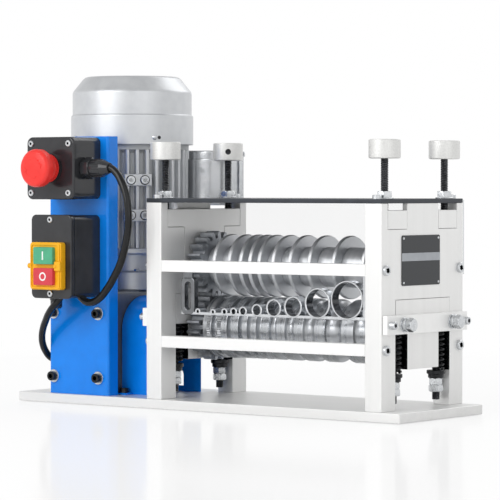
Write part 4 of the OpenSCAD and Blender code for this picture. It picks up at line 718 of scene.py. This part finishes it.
# half of a bowl-shaped groove, from the drum's edge down to the middle of the groove
def bowl(mid, wide, side):
    r, deep, e = feedRoller["radius"], feedRoller["radius"] - feedRoller["core"], feedRoller["edge"]
    half = wide / 2
    curve = [(r - deep * down, mid + side * half * out) for out, down in arc(1, 20, 70, 7)]
    return [(r, mid + side * (half + e)), (r - 0.3 * e, mid + side * (half + 0.3 * e))] + curve


r = d["radius"]
profile = [(d["core"], left), (r - 1, left), (r, left + 1)]
for x, wide in zip(wireGuide["at"], d["grooves"]):
    profile += bowl(x, wide, -1)[:-1] + bowl(x, wide, 1)[::-1]
profile += [(r, right - 1), (r - 1, right), (d["core"], right)]
bm = bmesh.new()
put(bm, turned(profile, 96), (0, 0, feedAxis), turnX)
star = [polar(r + d["ridge"][i % 2], 180 * i / d["ridges"]) for i in range(2 * d["ridges"])]
for low, high in d["knurls"]:
    put(bm, prism(star, "z", low, high, 0), (0, 0, feedAxis), turnX)
finishPiece(bm, "grooved_feed_drums", "feed_roller", ["drum_steel"], "feed_drums", slot="polished_steel",
            smooth=24)

# shoulder is half width, low and high; bearing is the seat's radius and depth; journal is radius and reach
lowerBlock = {"shoulder": (48.2, 88, 119.7), "tongue": (28, 50), "deep": (-10, 10.3),
              "bearing": (21.02, 12.5), "journal": (11, 24), "edge": 0.5}
d = lowerBlock
wide, low, high = d["shoulder"]
seatR, seatDeep = d["bearing"]
journal, reach = d["journal"]
tee = mirrored([(wide, high), (wide, low), (d["tongue"][0], low), d["tongue"]])
# the shaft leaves through the left block
floors = {-1: [(journal, seatDeep), (journal, reach), (0, reach)], 1: [(0, seatDeep)]}
bm = bmesh.new()
for side in both:
    seat = turned([(0, -1), (seatR, -1), (seatR, seatDeep)] + floors[side], 64)
    moved(seat, (d["deep"][0], 0, feedAxis), turnX)
    putOnPlate(bm, cutOut(prism(tee, "x", *d["deep"], d["edge"]), seat), side)
polishAndShadeSpringWalls(bm, d["tongue"][0], low)
finishPiece(bm, "sprung_blocks", "lower_carriage", ["milled_aluminium", "dark_steel_painted_shade"], "lower_blocks",
            slot="machined_aluminium")

# bolt is corner and height; washers are radius, low and high; hole is radius, from and to
crossbar = {"x": (10.3, 16.3), "half": 72, "z": (86, 105), "edge": 0.7, "mid": 95.5, "bolt": (7.2, 6.5),
            "boltY": 43, "washers": ((7.4, 0, 1.4), (6, 1.4, 3.6), (7, 3.6, 5.5)), "washerBore": 2.9,
            "endScrew": (4, 6, 2.2), "endY": 66, "hole": (12, 8, 18)}
d = crossbar
bm = bmesh.new()
for side in both:
    bar = roundBlock((d["x"][0], -d["half"], d["z"][0]), (d["x"][1], d["half"], d["z"][1]), d["edge"])
    if side < 0:
        bar = cutOut(bar, moved(plug(*d["hole"], 48), (0, 0, feedAxis), turnX))
    putOnPlate(bm, bar, side)
finishPiece(bm, "spring_crossbars", "lower_carriage", ["bright_bar"], "crossbars", slot="bright_bar")
bm = bmesh.new()
for side in both:
    face = endPlate["mid"][side] + side * d["x"][1]
    for e in both:
        for wide, low, high in d["washers"]:
            put(bm, ringTube(wide, d["washerBore"], low, high, 0.3, 36), (face, e * d["boltY"], d["mid"]),
                outward(side))
        put(bm, hexHead(*d["bolt"]), (face + side * high, e * d["boltY"], d["mid"]), outward(side))
        putSocket(bm, d["endScrew"], (face, e * d["endY"], d["mid"]), outward(side))
finishPiece(bm, "crossbar_bolt_heads", "lower_carriage", ["zinc_screws", "black_oxide"], "crossbar_screws",
            slot="zinc_screws")

# rod is radius, low and high; nut is corner, height and low; a seat's steps are radius, low, high and lip
springStud = {"y": 38.5, "rod": (4, 16, 124), "bore": 4.02, "nut": (7.5, 7, 24), "nutTurn": 20,
              "seat": ((8, 38, 42, 0.4), (9.5, 42, 46, 0.6))}
d = springStud
corner, height, low = d["nut"]
nut = hexNut(corner, height, d["bore"])
bm = bmesh.new()
nuts = bmesh.new()
for side in both:
    for e in both:
        at = Vector((endPlate["mid"][side], e * d["y"], 0))
        put(bm, threadRod(*d["rod"]), at)
        put(nuts, nut, at + Vector((0, 0, low)), spinZ(d["nutTurn"]))
        put(nuts, nut, at + Vector((0, 0, low + height)))
        for wide, bottom, top, lip in d["seat"]:
            put(nuts, ringTube(wide, d["bore"], bottom, top, lip, 40), at, finish=1)
finishPiece(bm, "threaded_spring_studs", "frame", ["dark_thread"], "spring_studs", slot="black_oxide")
finishPiece(nuts, "stud_nuts_and_seats", "frame", ["zinc_screws", "black_oxide"], "stud_nuts",
            slot="zinc_screws")

spring = {"mean": 7.5, "wire": 1.5, "low": 46.3, "rise": 38.4, "dead": 3.6, "turns": 8, "steps": 24,
          "travel": 2.5}


# one coil: a dead turn, the live turns and a dead turn, each spun on from the last
def coilShape():
    d = spring
    bm = bmesh.new()
    ring = bmesh.ops.create_circle(bm, segments=10, radius=d["wire"])["verts"]
    bmesh.ops.rotate(bm, cent=(0, 0, 0), matrix=Matrix.Rotation(math.pi / 2, 3, "X"), verts=ring)
    bmesh.ops.translate(bm, vec=(d["mean"], 0, d["low"] + d["wire"]), verts=ring)
    geom = ring + list({e for v in ring for e in v.link_edges})
    bmesh.ops.edgeloop_fill(bm, edges=geom[len(ring):])
    for turns, rise in ((1, d["dead"]), (d["turns"] - 2, d["rise"] - 2 * d["dead"]), (1, d["dead"])):
        steps = turns * d["steps"]
        spun = bmesh.ops.spin(bm, geom=geom, cent=(0, 0, 0), axis=(0, 0, 1), dvec=(0, 0, rise / steps),
                              angle=math.tau * turns, steps=steps, use_merge=False)
        geom = [g for g in spun["geom_last"] if not isinstance(g, bmesh.types.BMFace)]
    bmesh.ops.edgeloop_fill(bm, edges=[g for g in geom if isinstance(g, bmesh.types.BMEdge)])
    bmesh.ops.recalc_face_normals(bm, faces=bm.faces)
    return bm


bm = bmesh.new()
for side in both:
    for e in both:
        putOnPlate(bm, coilShape(), side, e * springStud["y"])
coils = finishPiece(bm, "wound_springs", "frame", ["black_spring"], "compression_springs", slot="black_oxide",
                    smooth=60)
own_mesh(coils)
print("feed side made")

# drive
# bolt is the places along and up; boss is radius, front and length; cover is radius, thickness and face
gearbox = {"low": (-212, -51, 10), "high": (-137, 62, 120), "edge": 3, "bolt": ((-203.5, -141), (28.5, 97)),
           "boss": (6.5, -67, 18), "cover": (34, 8, -212), "bore": 9.2, "collar": (17, 3),
           "screw": (2.6, 1.9, 1.4, 0.3), "screwRing": 28.5}
d = gearbox
side = d["high"][0]
bossR, bossFront, bossLong = d["boss"]
boss = turned([(0, 0), (bossR - 0.4, 0), (bossR, 0.4), (bossR, bossLong), (0, bossLong)], 32)
bm = bmesh.new()
put(bm, cutOut(roundBlock(d["low"], d["high"], d["edge"], 4),
               moved(plug(d["bore"], 0, 30, 48), (side - 20, 0, feedAxis), turnX)))
for x in d["bolt"][0]:
    for z in d["bolt"][1]:
        put(bm, boss, (x, bossFront, z), turnY)
put(bm, ringTube(d["collar"][0], d["bore"], 0, d["collar"][1], 0.8, 48), (side, 0, feedAxis), turnX)
# painted shade: the gearbox takes the darkened casting
finishPiece(bm, "cast_gearbox", "frame", ["cast_painted_shade"], "gearbox_housing", slot="silver_paint")
r, thick, face = d["cover"]
bm = bmesh.new()
put(bm, turned([(0, 0), (r - 2, 0), (r, 0), (r, thick - 1.2), (r - 1.2, thick), (r - 9.6, thick),
                (r - 10.4, thick - 1.4), (14, thick - 1.4), (12.6, thick), (0, thick)], 72),
    (face, 0, feedAxis), outward(-1))
for i in range(6):
    put(bm, socketHead(*d["screw"]), (face - thick, *polar(d["screwRing"], 60 * i + 30, 0, feedAxis)),
        outward(-1), 1)
# painted shade: the cover takes the same darkened casting
finishPiece(bm, "gearbox_side_cover", "frame", ["cast_painted_shade", "black_oxide"], "gearbox_cover",
            slot="silver_paint")

# foot is length and reach; keyhole is radius, place along, height and low; bolt is the place along and across
couplingGuard = {"x": (-136, -86), "radius": 37, "mid": 77.7, "low": 10, "sheet": 2, "foot": (16, 12),
                 "edge": 0.5, "keyhole": (7, -116, 27.5, 16), "bolt": (8, 43)}
d = couplingGuard
left, right = d["x"]
r, low, mid = d["radius"], d["low"], d["mid"]
inside = r - d["sheet"]
outline = [(r, low)] + arc(r, 0, 180, 36, 0, mid) + [(-r, low), (-inside, low)]
outline += arc(inside, 180, -180, 36, 0, mid) + [(inside, low)]
radius, x, z, keyLow = d["keyhole"]
keyhole = arc(radius, 0, 180, 18, x, z) + [(x - radius, keyLow), (x + radius, keyLow)]
bm = bmesh.new()
put(bm, cutOut(prism(outline, "x", left, right, d["edge"], 2, 40), prism(keyhole, "y", 0, r + 3, 0)))
for e in both:
    y0, y1 = sorted((e * (r - 1), e * (r + d["foot"][1])))
    put(bm, roundBlock((left, y0, low), (left + d["foot"][0], y1, low + d["sheet"])))
finishPiece(bm, "blue_coupling_guard", "frame", ["blue_coat"], "coupling_guard", slot="blue_paint")
print("gearbox and guard made")

# motor
# round parts are radius, low and high; fin is reach, thickness and count; pad is width, reach, heights, turns
motor = {"at": (-177, 30, 0), "flange": (52, 120, 140.5), "neck": 46, "ledge": (62, 159.7, 165.7),
         "body": (56, 165.7, 277.6), "spigot": (64.98, 282.6), "web": (62, 271.6), "shaft": 7.1,
         "bolt": (3, 2.6), "boltRing": 49.2, "fin": (63, 4.4, 36), "padScrew": (4.4, 2, 2.5),
         "padScrewShade": (5.3, 4.3, 0, 0.3), "pad": (30, 68, ((194.7, 207.7), (232.7, 245.7)), (135, 225, 315))}
d = motor
flange, low, high = d["flange"]
neck, inside = d["neck"], d["shaft"]
ledge, ledgeLow, ledgeHigh = d["ledge"]
bm = bmesh.new()
put(bm, turned([(inside, low), (flange - 1, low), (flange, low + 1), (flange, high - 1.5),
                (flange - 1.5, high), (neck + 2.5, high), (neck + 0.7, high + 0.7), (neck, high + 2.5),
                (neck, ledgeLow - 4), (neck + 1.2, ledgeLow - 1.2), (neck + 4, ledgeLow),
                (ledge - 0.8, ledgeLow), (ledge, ledgeLow + 0.8), (ledge, ledgeHigh - 0.8),
                (ledge - 0.8, ledgeHigh), (inside, ledgeHigh)], 96, True), d["at"])
for i in range(4):
    put(bm, hexHead(*d["bolt"]), (*polar(d["boltRing"], 90 * i + 45, *d["at"][:2]), high), finish=1)
finishPiece(bm, "motor_flange_shield", "frame", ["cast_silver", "zinc_screws"], "motor_end_shield",
            slot="silver_paint")

r, low, high = d["body"]
web, webLow = d["web"]
spigot, spigotTop = d["spigot"]
finR, finThick, finCount = d["fin"]
bm = bmesh.new()
# painted shade: the core between the fins takes cast_shadow to deepen the gaps
put(bm, turned([(inside, low), (r, low), (r, webLow - 3), (r + 3, webLow), (web - 0.6, webLow),
                (web, webLow + 0.6), (web, high), (spigot, high), (spigot, spigotTop),
                (inside, spigotTop)], 96, True), d["at"], finish=2)
fin = prism([(r - 1.5, -0.75 * finThick), (finR - 0.4, -0.42 * finThick), (finR, 0),
             (finR - 0.4, 0.42 * finThick), (r - 1.5, 0.75 * finThick)], "z", low, webLow + 0.5, 0.3, 1, 20)
for i in range(finCount):
    put(bm, fin, d["at"], spinZ(360 * (i + 0.5) / finCount))
padWide, padReach, padHeights, padTurns = d["pad"]
for a in padTurns:
    for low, high in padHeights:
        put(bm, roundBlock((r - 2, -padWide / 2, low), (padReach, padWide / 2, high), 1.2, 3), d["at"],
            spinZ(a))
        for y in (-padWide / 4, padWide / 4):
            at = Vector(d["at"]) + spinZ(a) @ Vector((padReach, y, (low + high) / 2))
            putSocket(bm, d["padScrew"], at, spinZ(a) @ turnX, 1, 3)
            # painted shade: a dark ring round each pad screw head, for the gap of its counterbore
            put(bm, ringTube(*d["padScrewShade"], 0.1, 40), at, spinZ(a) @ turnX, 3)
finishPiece(bm, "finned_motor_body", "frame", ["cast_silver", "zinc_screws", "cast_shadow", "black_oxide"],
            "motor_housing", slot="silver_paint")

# skirt is radius, low and high; slot is from, to and half width; screw is radius, height and turns;
# hole is the radius, and the turn from its screw, of a black disc that is painted shade for a small hole
cowl = {"skirt": (67, 277.6, 310), "band": (65.3, 336), "top": (50.4, 352), "wall": 2, "slots": 16,
        "slot": (14, 44.4, 2), "screw": (2.8, 285, (-29, 61, 151, 241)), "hole": (1.9, 4.5)}
d = cowl
skirtR, skirtLow, skirtHigh = d["skirt"]
bandR, bandHigh = d["band"]
topR, topZ = d["top"]
w = d["wall"]
shell = turned([(skirtR - w, skirtLow), (skirtR - 0.4, skirtLow), (skirtR, skirtLow + 0.6),
                (skirtR, skirtHigh - 1.4), (skirtR - 0.4, skirtHigh - 0.5), (bandR + 0.5, skirtHigh),
                (bandR, skirtHigh + 0.6), (bandR, bandHigh - 2.4), (bandR - 0.5, bandHigh - 0.6),
                (bandR - 1.8, bandHigh + 1.4), (topR + 3.4, topZ - 2.6), (topR + 1.2, topZ - 0.8),
                (topR - 1.6, topZ), (11, topZ), (10, topZ - 0.7), (0, topZ - 0.7), (0, topZ - w),
                (topR - 1, topZ - w), (bandR - w, bandHigh - 1), (bandR - w, skirtHigh - w),
                (skirtR - w, skirtHigh - w)], 112, True)
slotFrom, slotTo, slotHalf = d["slot"]
slot = roundBlock((slotFrom, -slotHalf, topZ - w - 2), (slotTo, slotHalf, topZ + 3), 0)
slots = bmesh.new()
for i in range(d["slots"]):
    put(slots, slot, turn=spinZ(360 * i / d["slots"]))
bm = bmesh.new()
put(bm, cutOut(shell, slots), motor["at"])
r, z, turns = d["screw"]
screw = turned([(0, 0), (r, 0), (r, 0.5), (r * 0.75, 1.3), (r * 0.3, 1.6), (r * 0.3, 0.9), (0, 0.9)], 24)
hole, holeTurn = d["hole"]
for a in turns:
    spin = spinZ(a)
    put(bm, screw, Vector(motor["at"]) + spin @ Vector((skirtR - 0.3, 0, z)), spin @ turnX, 1)
    # painted shade: a black disc beside each screw stands for the dark inside of a hole
    spin = spinZ(a + holeTurn)
    put(bm, plug(hole, 0, 0.7, 20), Vector(motor["at"]) + spin @ Vector((skirtR - 0.6, 0, z)), spin @ turnX,
        2)
finishPiece(bm, "motor_fan_cowl", "frame", ["cast_silver", "zinc_screws", "black_oxide"], "fan_cowl",
            slot="silver_paint")

# root is from, to and swell; shoulder is height and inset; screws are across, up and radius
terminal = {"turn": 45, "z": (208.6, 274.6), "half": 31, "rim": 3, "root": (60, 97, 15), "end": 114,
            "out": 120, "corner": 9, "shoulder": (9, 1.6), "taper": 1.2, "panelIn": 4,
            "screws": (24, 26, 3.2)}
d = terminal
face = spinZ(d["turn"] - 90)
rootIn, rootOut, swell = d["root"]
half, full, end, out = d["half"], d["half"] - d["rim"], d["end"], d["out"]
low, high = d["z"][0] + d["rim"], d["z"][1] - d["rim"]
side = [(full - swell * (1 - i / 14) ** 2, rootIn + (rootOut - rootIn) * i / 14) for i in range(15)]
side += [(full - d["taper"] * (i / 6) ** 2, rootOut + (end - rootOut) * i / 6) for i in range(1, 7)]
tall, inset = d["shoulder"]
bm = bmesh.new()
put(bm, prism(mirrored(side), "z", low, high - tall, 1.2, 3, 40), motor["at"], face)
put(bm, prism(mirrored([(u - inset, v) for u, v in side]), "z", high - tall - 2, high, 2, 4, 40),
    motor["at"], face)
finishPiece(bm, "terminal_base", "frame", ["cast_gloss"], "terminal_box", slot="silver_paint")
bm = bmesh.new()
put(bm, prism(roundOutline((-half, half), d["z"], d["corner"], 8), "y", end, out - 2, 1, 3, 40),
    motor["at"], face)
raised = roundOutline((-half, half), d["z"], d["corner"] - 3, 8, d["panelIn"])
put(bm, prism(raised, "y", out - 2.5, out, 1, 3, 40), motor["at"], face)
across, up, r = d["screws"]
screw = turned([(0, 0), (r, 0), (r - 0.6, 1.6), (0, 2)], 24)
for u in both:
    for v in both:
        at = face @ Vector((u * across, out - 0.2, sum(d["z"]) / 2 + v * up))
        put(bm, screw, Vector(motor["at"]) + at, spinZ(d["turn"]) @ turnX, 1)
finishPiece(bm, "terminal_lid", "frame", ["cast_gloss", "zinc_screws"], "terminal_cover", slot="silver_paint")
print("motor made")

# control panel and switches
panel = {"x": (-210, -127), "y": (-70, -54), "sheet": 3, "z": (10, 285.5), "bend": 3, "edge": 0.5}
d = panel
x0, x1 = d["x"]
y0, y1 = d["y"]
t, r = d["sheet"], d["bend"]
outline = [(x0, y1)] + arc(r, 180, 90, 6, x0 + r, y0 + r) + arc(r, 270, 90, 6, x1 - r, y0 + r)
outline += [(x1, y1), (x1 - t, y1), (x1 - t, y0 + t), (x0 + t, y0 + t), (x0 + t, y1)]
finishPiece(prism(outline, "z", *d["z"], d["edge"], 2, 40), "blue_control_panel", "frame", ["blue_coat"],
            "control_panel", slot="blue_paint")

# collar is radius and front; cap is radius, back and front; arrow is inner and outer radius, sweep and point
estop = {"x": -170, "z": 251.5, "size": 66, "y": (-105, -70), "lid": (-114, -105), "round": 6, "corner": 26,
         "collar": (15, -123), "bore": 8.06, "groove": 1.3, "cap": (20, -129, -142),
         "arrow": (9.4, 11.2, 100, 4.6), "arrowTurns": (20, 200)}
d = estop
square = (span(d["x"], d["size"]), span(d["z"], d["size"]))
finishPiece(prism(roundOutline(*square, d["round"], 8, 0.3), "y", *d["y"], 0.6, 2, 40), "estop_housing",
            "frame", ["black_plastic"], "estop_box", slot="black_plastic")
finishPiece(prism(roundOutline(*square, d["round"] + 1, 8), "y", *d["lid"], 2.2, 4, 40, d["lid"][1]),
            "estop_front_lid", "frame", ["black_plastic"], "estop_lid", slot="black_plastic")
r, reach = d["collar"]
bore, tall, neck = d["bore"], d["lid"][0] - reach, r - d["groove"]
at = (d["x"], d["lid"][0], d["z"])
bm = bmesh.new()
put(bm, turned([(bore, 0), (r + 1, 0), (r + 1, 1.6), (neck, 1.8), (neck, 2.6), (r, 2.8)], 64),
    at, turnFront, 1)
put(bm, turned([(bore, 2.8), (r, 2.8), (r, 4.6), (neck, 4.8), (neck, 5.6), (r, 5.8), (r, tall - 1),
                (r - 1, tall), (8.6, tall), (bore, tall - 0.6)], 64, True), at, turnFront)
finishPiece(bm, "estop_neck", "frame", ["red_plastic", "black_plastic"], "estop_collar", slot="black_plastic")
r, back, front = d["cap"]
tall = back - front
at = (d["x"], back, d["z"])
bm = bmesh.new()
put(bm, turned([(0, 0.2), (r - 4, 0.2), (r - 1.6, 0), (r - 0.5, 0.5), (r, 1.6), (r, tall - 5.4),
                (r - 0.6, tall - 3.6), (r - 2, tall - 1.9), (r - 4.4, tall - 0.8), (r * 0.45, tall - 0.15),
                (0, tall)], 96), at, turnFront)
arrowIn, arrowOut, sweep, point = d["arrow"]
mid = (arrowIn + arrowOut) / 2
shank = arc(arrowOut, 0, sweep, 10) + arc(arrowIn, sweep, -sweep, 10)
head = [(mid - point / 1.6, 0), (mid + point / 1.6, 0), (mid, -point)]
for turn in d["arrowTurns"]:
    for outline in (shank, head):
        put(bm, prism(outline, "z", tall - 1.6, tall + 0.12, 0.2, 1), at, turnFront @ spinZ(turn))
finishPiece(bm, "estop_mushroom", "estop_button", ["red_plastic"], "estop_button", slot="red_plastic",
            smooth=40)

# frame and button are width, height and front; latch is from, to, half height and reach
# pin is radius, place and reach
switch = {"x": (-194, -138), "y": (-117, -70), "z": (114, 202.5), "round": 6, "frameX": -167, "frameZ": 148.5,
          "frame": (43, 50, -125), "lid": 6, "lip": (1.2, 1.7), "latch": (14.2, 22.6, 5, 3),
          "pin": (2.8, -21, 4), "button": (27, 18, -129.5), "mid": {"start": 159.5, "stop": 137.5}}
d = switch
x, z, edgeX, edgeZ = d["frameX"], d["frameZ"], d["x"], d["z"]
back, wall = d["y"]
lidBack = back + d["lid"]
bm = bmesh.new()
put(bm, prism(roundOutline(edgeX, edgeZ, d["round"], 8, 0.4), "y", lidBack + 0.6, wall, 0.8, 2, 40, wall))
# a smaller core shows as the lid's joint
put(bm, prism(roundOutline(edgeX, edgeZ, d["round"], 8, 1.2), "y", back + 1, wall - 9, 0))
put(bm, prism(roundOutline(edgeX, edgeZ, d["round"], 8), "y", back, lidBack, 1.2, 3, 40))
finishPiece(bm, "switch_housing", "frame", ["black_plastic"], "switch_box", slot="black_plastic")
wide, tall, front = d["frame"]
sides = (span(x, wide), span(z, tall))
lipIn, lipWide = d["lip"]
latchIn, latchOut, latchHalf, latchTall = d["latch"]
pinR, pinIn, pinReach = d["pin"]
bm = bmesh.new()
put(bm, prism(roundOutline(*sides, 3), "y", front, back, 1, 3, 40))
put(bm, openPlate(roundOutline(*sides, 2.4, 6, lipIn), roundOutline(*sides, 2.4, 6, lipIn + lipWide),
                  front - 1.2, front + 0.3, 0.3))
put(bm, roundBlock((x + latchIn, front - latchTall, z - latchHalf), (x + latchOut, front + 2, z + latchHalf),
                   0.9, 3))
put(bm, roundBlock((x + latchIn, front - latchTall - 0.8, z - 1.6), (x + latchIn + 3.4, front, z + 1.6), 0.5))
put(bm, turned([(0, 0), (pinR, 0), (pinR, pinReach), (pinR - 0.6, pinReach + 0.6), (0, pinReach + 0.6)], 28),
    (x + pinIn, front + 2.6, z), outward(-1))
finishPiece(bm, "yellow_switch_frame", "frame", ["yellow_plastic"], "switch_frame", slot="yellow_plastic")
wide, tall, front = d["button"]
marks = {"start": roundBlock((-0.9, -0.3, -4.5), (0.9, 0.5, 4.5), 0.15, 1),
         "stop": moved(ringTube(4.6, 3, -0.3, 0.5, 0.15, 40), turn=turnY)}
for name, finish, slot in (("start", "green_plastic", "green_plastic"), ("stop", "stop_red", "red_plastic")):
    z = d["mid"][name]
    bm = bmesh.new()
    put(bm, prism(roundOutline(span(x, wide), span(z, tall), 1.5, 4), "y", front, back + 2, 0.8, 3, 40))
    put(bm, marks[name], (x, front, z), finish=1)
    finishPiece(bm, f"{name}_push_button", f"{name}_button", [finish, "white_mark"], f"{name}_button",
                slot=slot)
print("panel and switches made")

# washer is outer and inner radius, low and high; heads are radius, height and key
panelScrew = {"washer": (7, 3, 0, 1.2), "bolt": (5, 5, 2.7), "box": (3.4, 1.6, 1.5),
              "switchZ": (119.2, 197.3)}
d = panelScrew
wall = panel["y"][0]
bm = bmesh.new()
for x in gearbox["bolt"][0]:
    for z in gearbox["bolt"][1]:
        put(bm, ringTube(*d["washer"], 0.3, 40), (x, wall, z), turnFront)
        put(bm, socketHead(*d["bolt"]), (x, wall - d["washer"][3], z), turnFront, 1)
footX, footY = couplingGuard["bolt"]
footTop = couplingGuard["low"] + couplingGuard["sheet"]
for e in both:
    put(bm, socketHead(*d["bolt"]), (couplingGuard["x"][0] + footX, e * footY, footTop), finish=1)
    for u in both:
        at = (estop["x"] + e * estop["corner"], estop["lid"][0], estop["z"] + u * estop["corner"])
        putSocket(bm, d["box"], at, turnFront)
for z in d["switchZ"]:
    putSocket(bm, d["box"], (switch["frameX"], switch["y"][0], z), turnFront)
finishPiece(bm, "panel_screw_heads", "frame", ["zinc_screws", "black_oxide"], "panel_screws",
            slot="zinc_screws")

# nose is the radius along the stop lead's gland; inlet is place, radius and length; motor is radius and bore
gland = {"at": (-137, -95, 251.5), "nut": (11.6, 11), "body": 9, "lead": 4.02, "ribs": 18, "ribTo": 24.5,
         "nose": ((9, 24), (8.4, 26.5), (7, 29.5), (6, 32.6), (5.2, 34)), "inlet": ((-186, -86, 114), 7, 12),
         "motorTurn": 198, "motorZ": 149.5, "motorIn": 45.6, "motorOut": 56, "motor": (7, 3.8)}
d = gland
corner, nutLong = d["nut"]
body, lead = d["body"], d["lead"]
loops = [(lead, 0, 0), (corner * 0.86, 0, 0), (corner, 1, 6), (corner, nutLong - 1, 6),
         (corner * 0.86, nutLong, 0),
         (body, nutLong, 0)] + [(r, reach, 0) for r, reach in d["nose"]] + [(lead, d["nose"][-1][1], 0)]
rib = roundBlock((body - 0.6, -0.5, nutLong + 1), (body + 0.5, 0.5, d["ribTo"]), 0.2, 1)
bm = bmesh.new()
put(bm, stacked(loops, 48, True), d["at"], turnX)
for i in range(d["ribs"]):
    put(bm, rib, d["at"], turnX @ spinZ(360 * i / d["ribs"]))
at, r, long = d["inlet"]
put(bm, turned([(0, 0), (r, 0), (r, 3), (r - 0.6, 3.4), (r - 0.6, long - 2), (r - 2, long), (4, long),
                (4, long - 5), (0, long - 5)], 40), at, turnDown)
r, bore = d["motor"]
near, far = d["motorIn"], d["motorOut"]
put(bm, turned([(bore, near), (r, near), (r, far - 3), (r - 0.6, far - 1), (r - 2, far), (bore, far)], 40,
               True), (*motor["at"][:2], d["motorZ"]), spinZ(d["motorTurn"]) @ turnX)
finishPiece(bm, "lead_glands", "frame", ["black_plastic"], "cord_glands", slot="black_plastic")

# pieces that keep their CAD solids
keptFinish = {"blade_gear": "gear_steel", "feed_gear": "gear_steel", "feed_coupling_hub": "black_oxide",
              "drive_coupling_hub": "black_oxide", "output_shaft": "gear_steel", "worm_wheel": "bronze",
              "worm": "gear_steel", "rotor": "gear_steel", "stator": "winding",
              "cooling_fan": "black_plastic", "estop_plunger": "black_plastic",
              "contact_blocks": "black_plastic"}
for node, finish in keptFinish.items():
    nodes[node].data.materials.clear()
    nodes[node].data.materials.append(finishes[finish])
print("kept solids finished:", len(keptFinish))

# floor, backdrop and light; the studio's sizes are in metres
studio = {"floor": 6, "floorZ": -0.0005, "fadeFrom": 0.35, "fadeTo": 1.2, "near": 0.72,
          "floorColor": "#fafafa", "floorRough": 0.12, "floorShine": 0.12, "ceiling": (0.2, 0.8, 1.0, 0.45),
          "fill": 0.6}
floorMesh = bmesh.new()
bmesh.ops.create_grid(floorMesh, x_segments=1, y_segments=1, size=studio["floor"])
floorData = bpy.data.meshes.new("studio_floor")
floorMesh.to_mesh(floorData)
floorMesh.free()
floor = bpy.data.objects.new("studio_floor", floorData)
floor.location.z = studio["floorZ"]
bpy.context.collection.objects.link(floor)


# the floor glows white for the camera and farther out, and keeps a shadow near the object
def makeFloorFinish():
    finish, tree, shader = blankFinish("pale_floor")
    feed(tree, shader, {"Base Color": hexColor(studio["floorColor"]), "Roughness": studio["floorRough"],
                        "Specular IOR Level": studio["floorShine"]})
    place = addNode(tree, "TexCoord", {}).outputs["Object"]
    reach = addNode(tree, "VectorMath", {0: place}, "LENGTH").outputs["Value"]
    fade = addNode(tree, "MapRange", {"Value": reach, "From Min": studio["fadeFrom"],
                                      "From Max": studio["fadeTo"]})
    fade.interpolation_type = "SMOOTHSTEP"
    cameraRay = addNode(tree, "LightPath", {}).outputs["Is Camera Ray"]
    near = joined(tree, "MULTIPLY", cameraRay, studio["near"])
    pale = joined(tree, "MAXIMUM", fade.outputs["Result"], near)
    glow = addNode(tree, "Emission", {}).outputs["Emission"]
    mix = addNode(tree, "MixShader", {"Fac": pale, 1: shader.outputs["BSDF"], 2: glow})
    feed(tree, tree.nodes["Material Output"], {"Surface": mix.outputs["Shader"]})
    return finish


floorData.materials.append(makeFloorFinish())

world = bpy.data.worlds.new("white_studio")
bpy.context.scene.world = world
world.use_nodes = True
tree = world.node_tree
rays = addNode(tree, "LightPath", {}).outputs
sky = addNode(tree, "TexCoord", {}).outputs["Generated"]
height = addNode(tree, "SeparateXYZ", {"Vector": sky}).outputs["Z"]
greyer = dict(zip(rangeSockets, studio["ceiling"]))  # metal sees the white backdrop and a greyer ceiling
ceiling = addNode(tree, "MapRange", {"Value": height, **greyer}).outputs["Result"]
metal = joined(tree, "MULTIPLY", rays["Is Glossy Ray"], ceiling)
seen = joined(tree, "MAXIMUM", rays["Is Camera Ray"], rays["Is Transmission Ray"])
level = joined(tree, "MAXIMUM", joined(tree, "MAXIMUM", seen, metal), studio["fill"])
feed(tree, tree.nodes["Background"], {"Color": (1, 1, 1, 1), "Strength": level})

lampAim = Vector((0, 0, 0.15))
lamps = {"key": {"at": (-0.6, -2.5, 1.4), "size": 2.0, "power": 39},
         "fill": {"at": (2.0, -1.0, 1.2), "size": 1.8, "power": 7},
         "rear": {"at": (0.3, 1.9, 1.8), "size": 1.6, "power": 14}}
for name, lamp in lamps.items():
    data = bpy.data.lights.new(name + "_lamp", "AREA")
    data.size = lamp["size"]
    data.energy = lamp["power"]
    light = bpy.data.objects.new(name + "_lamp", data)
    light.location = lamp["at"]
    light.rotation_euler = (lampAim - Vector(lamp["at"])).to_track_quat("-Z", "Y").to_euler()
    bpy.context.collection.objects.link(light)
print("studio lit")
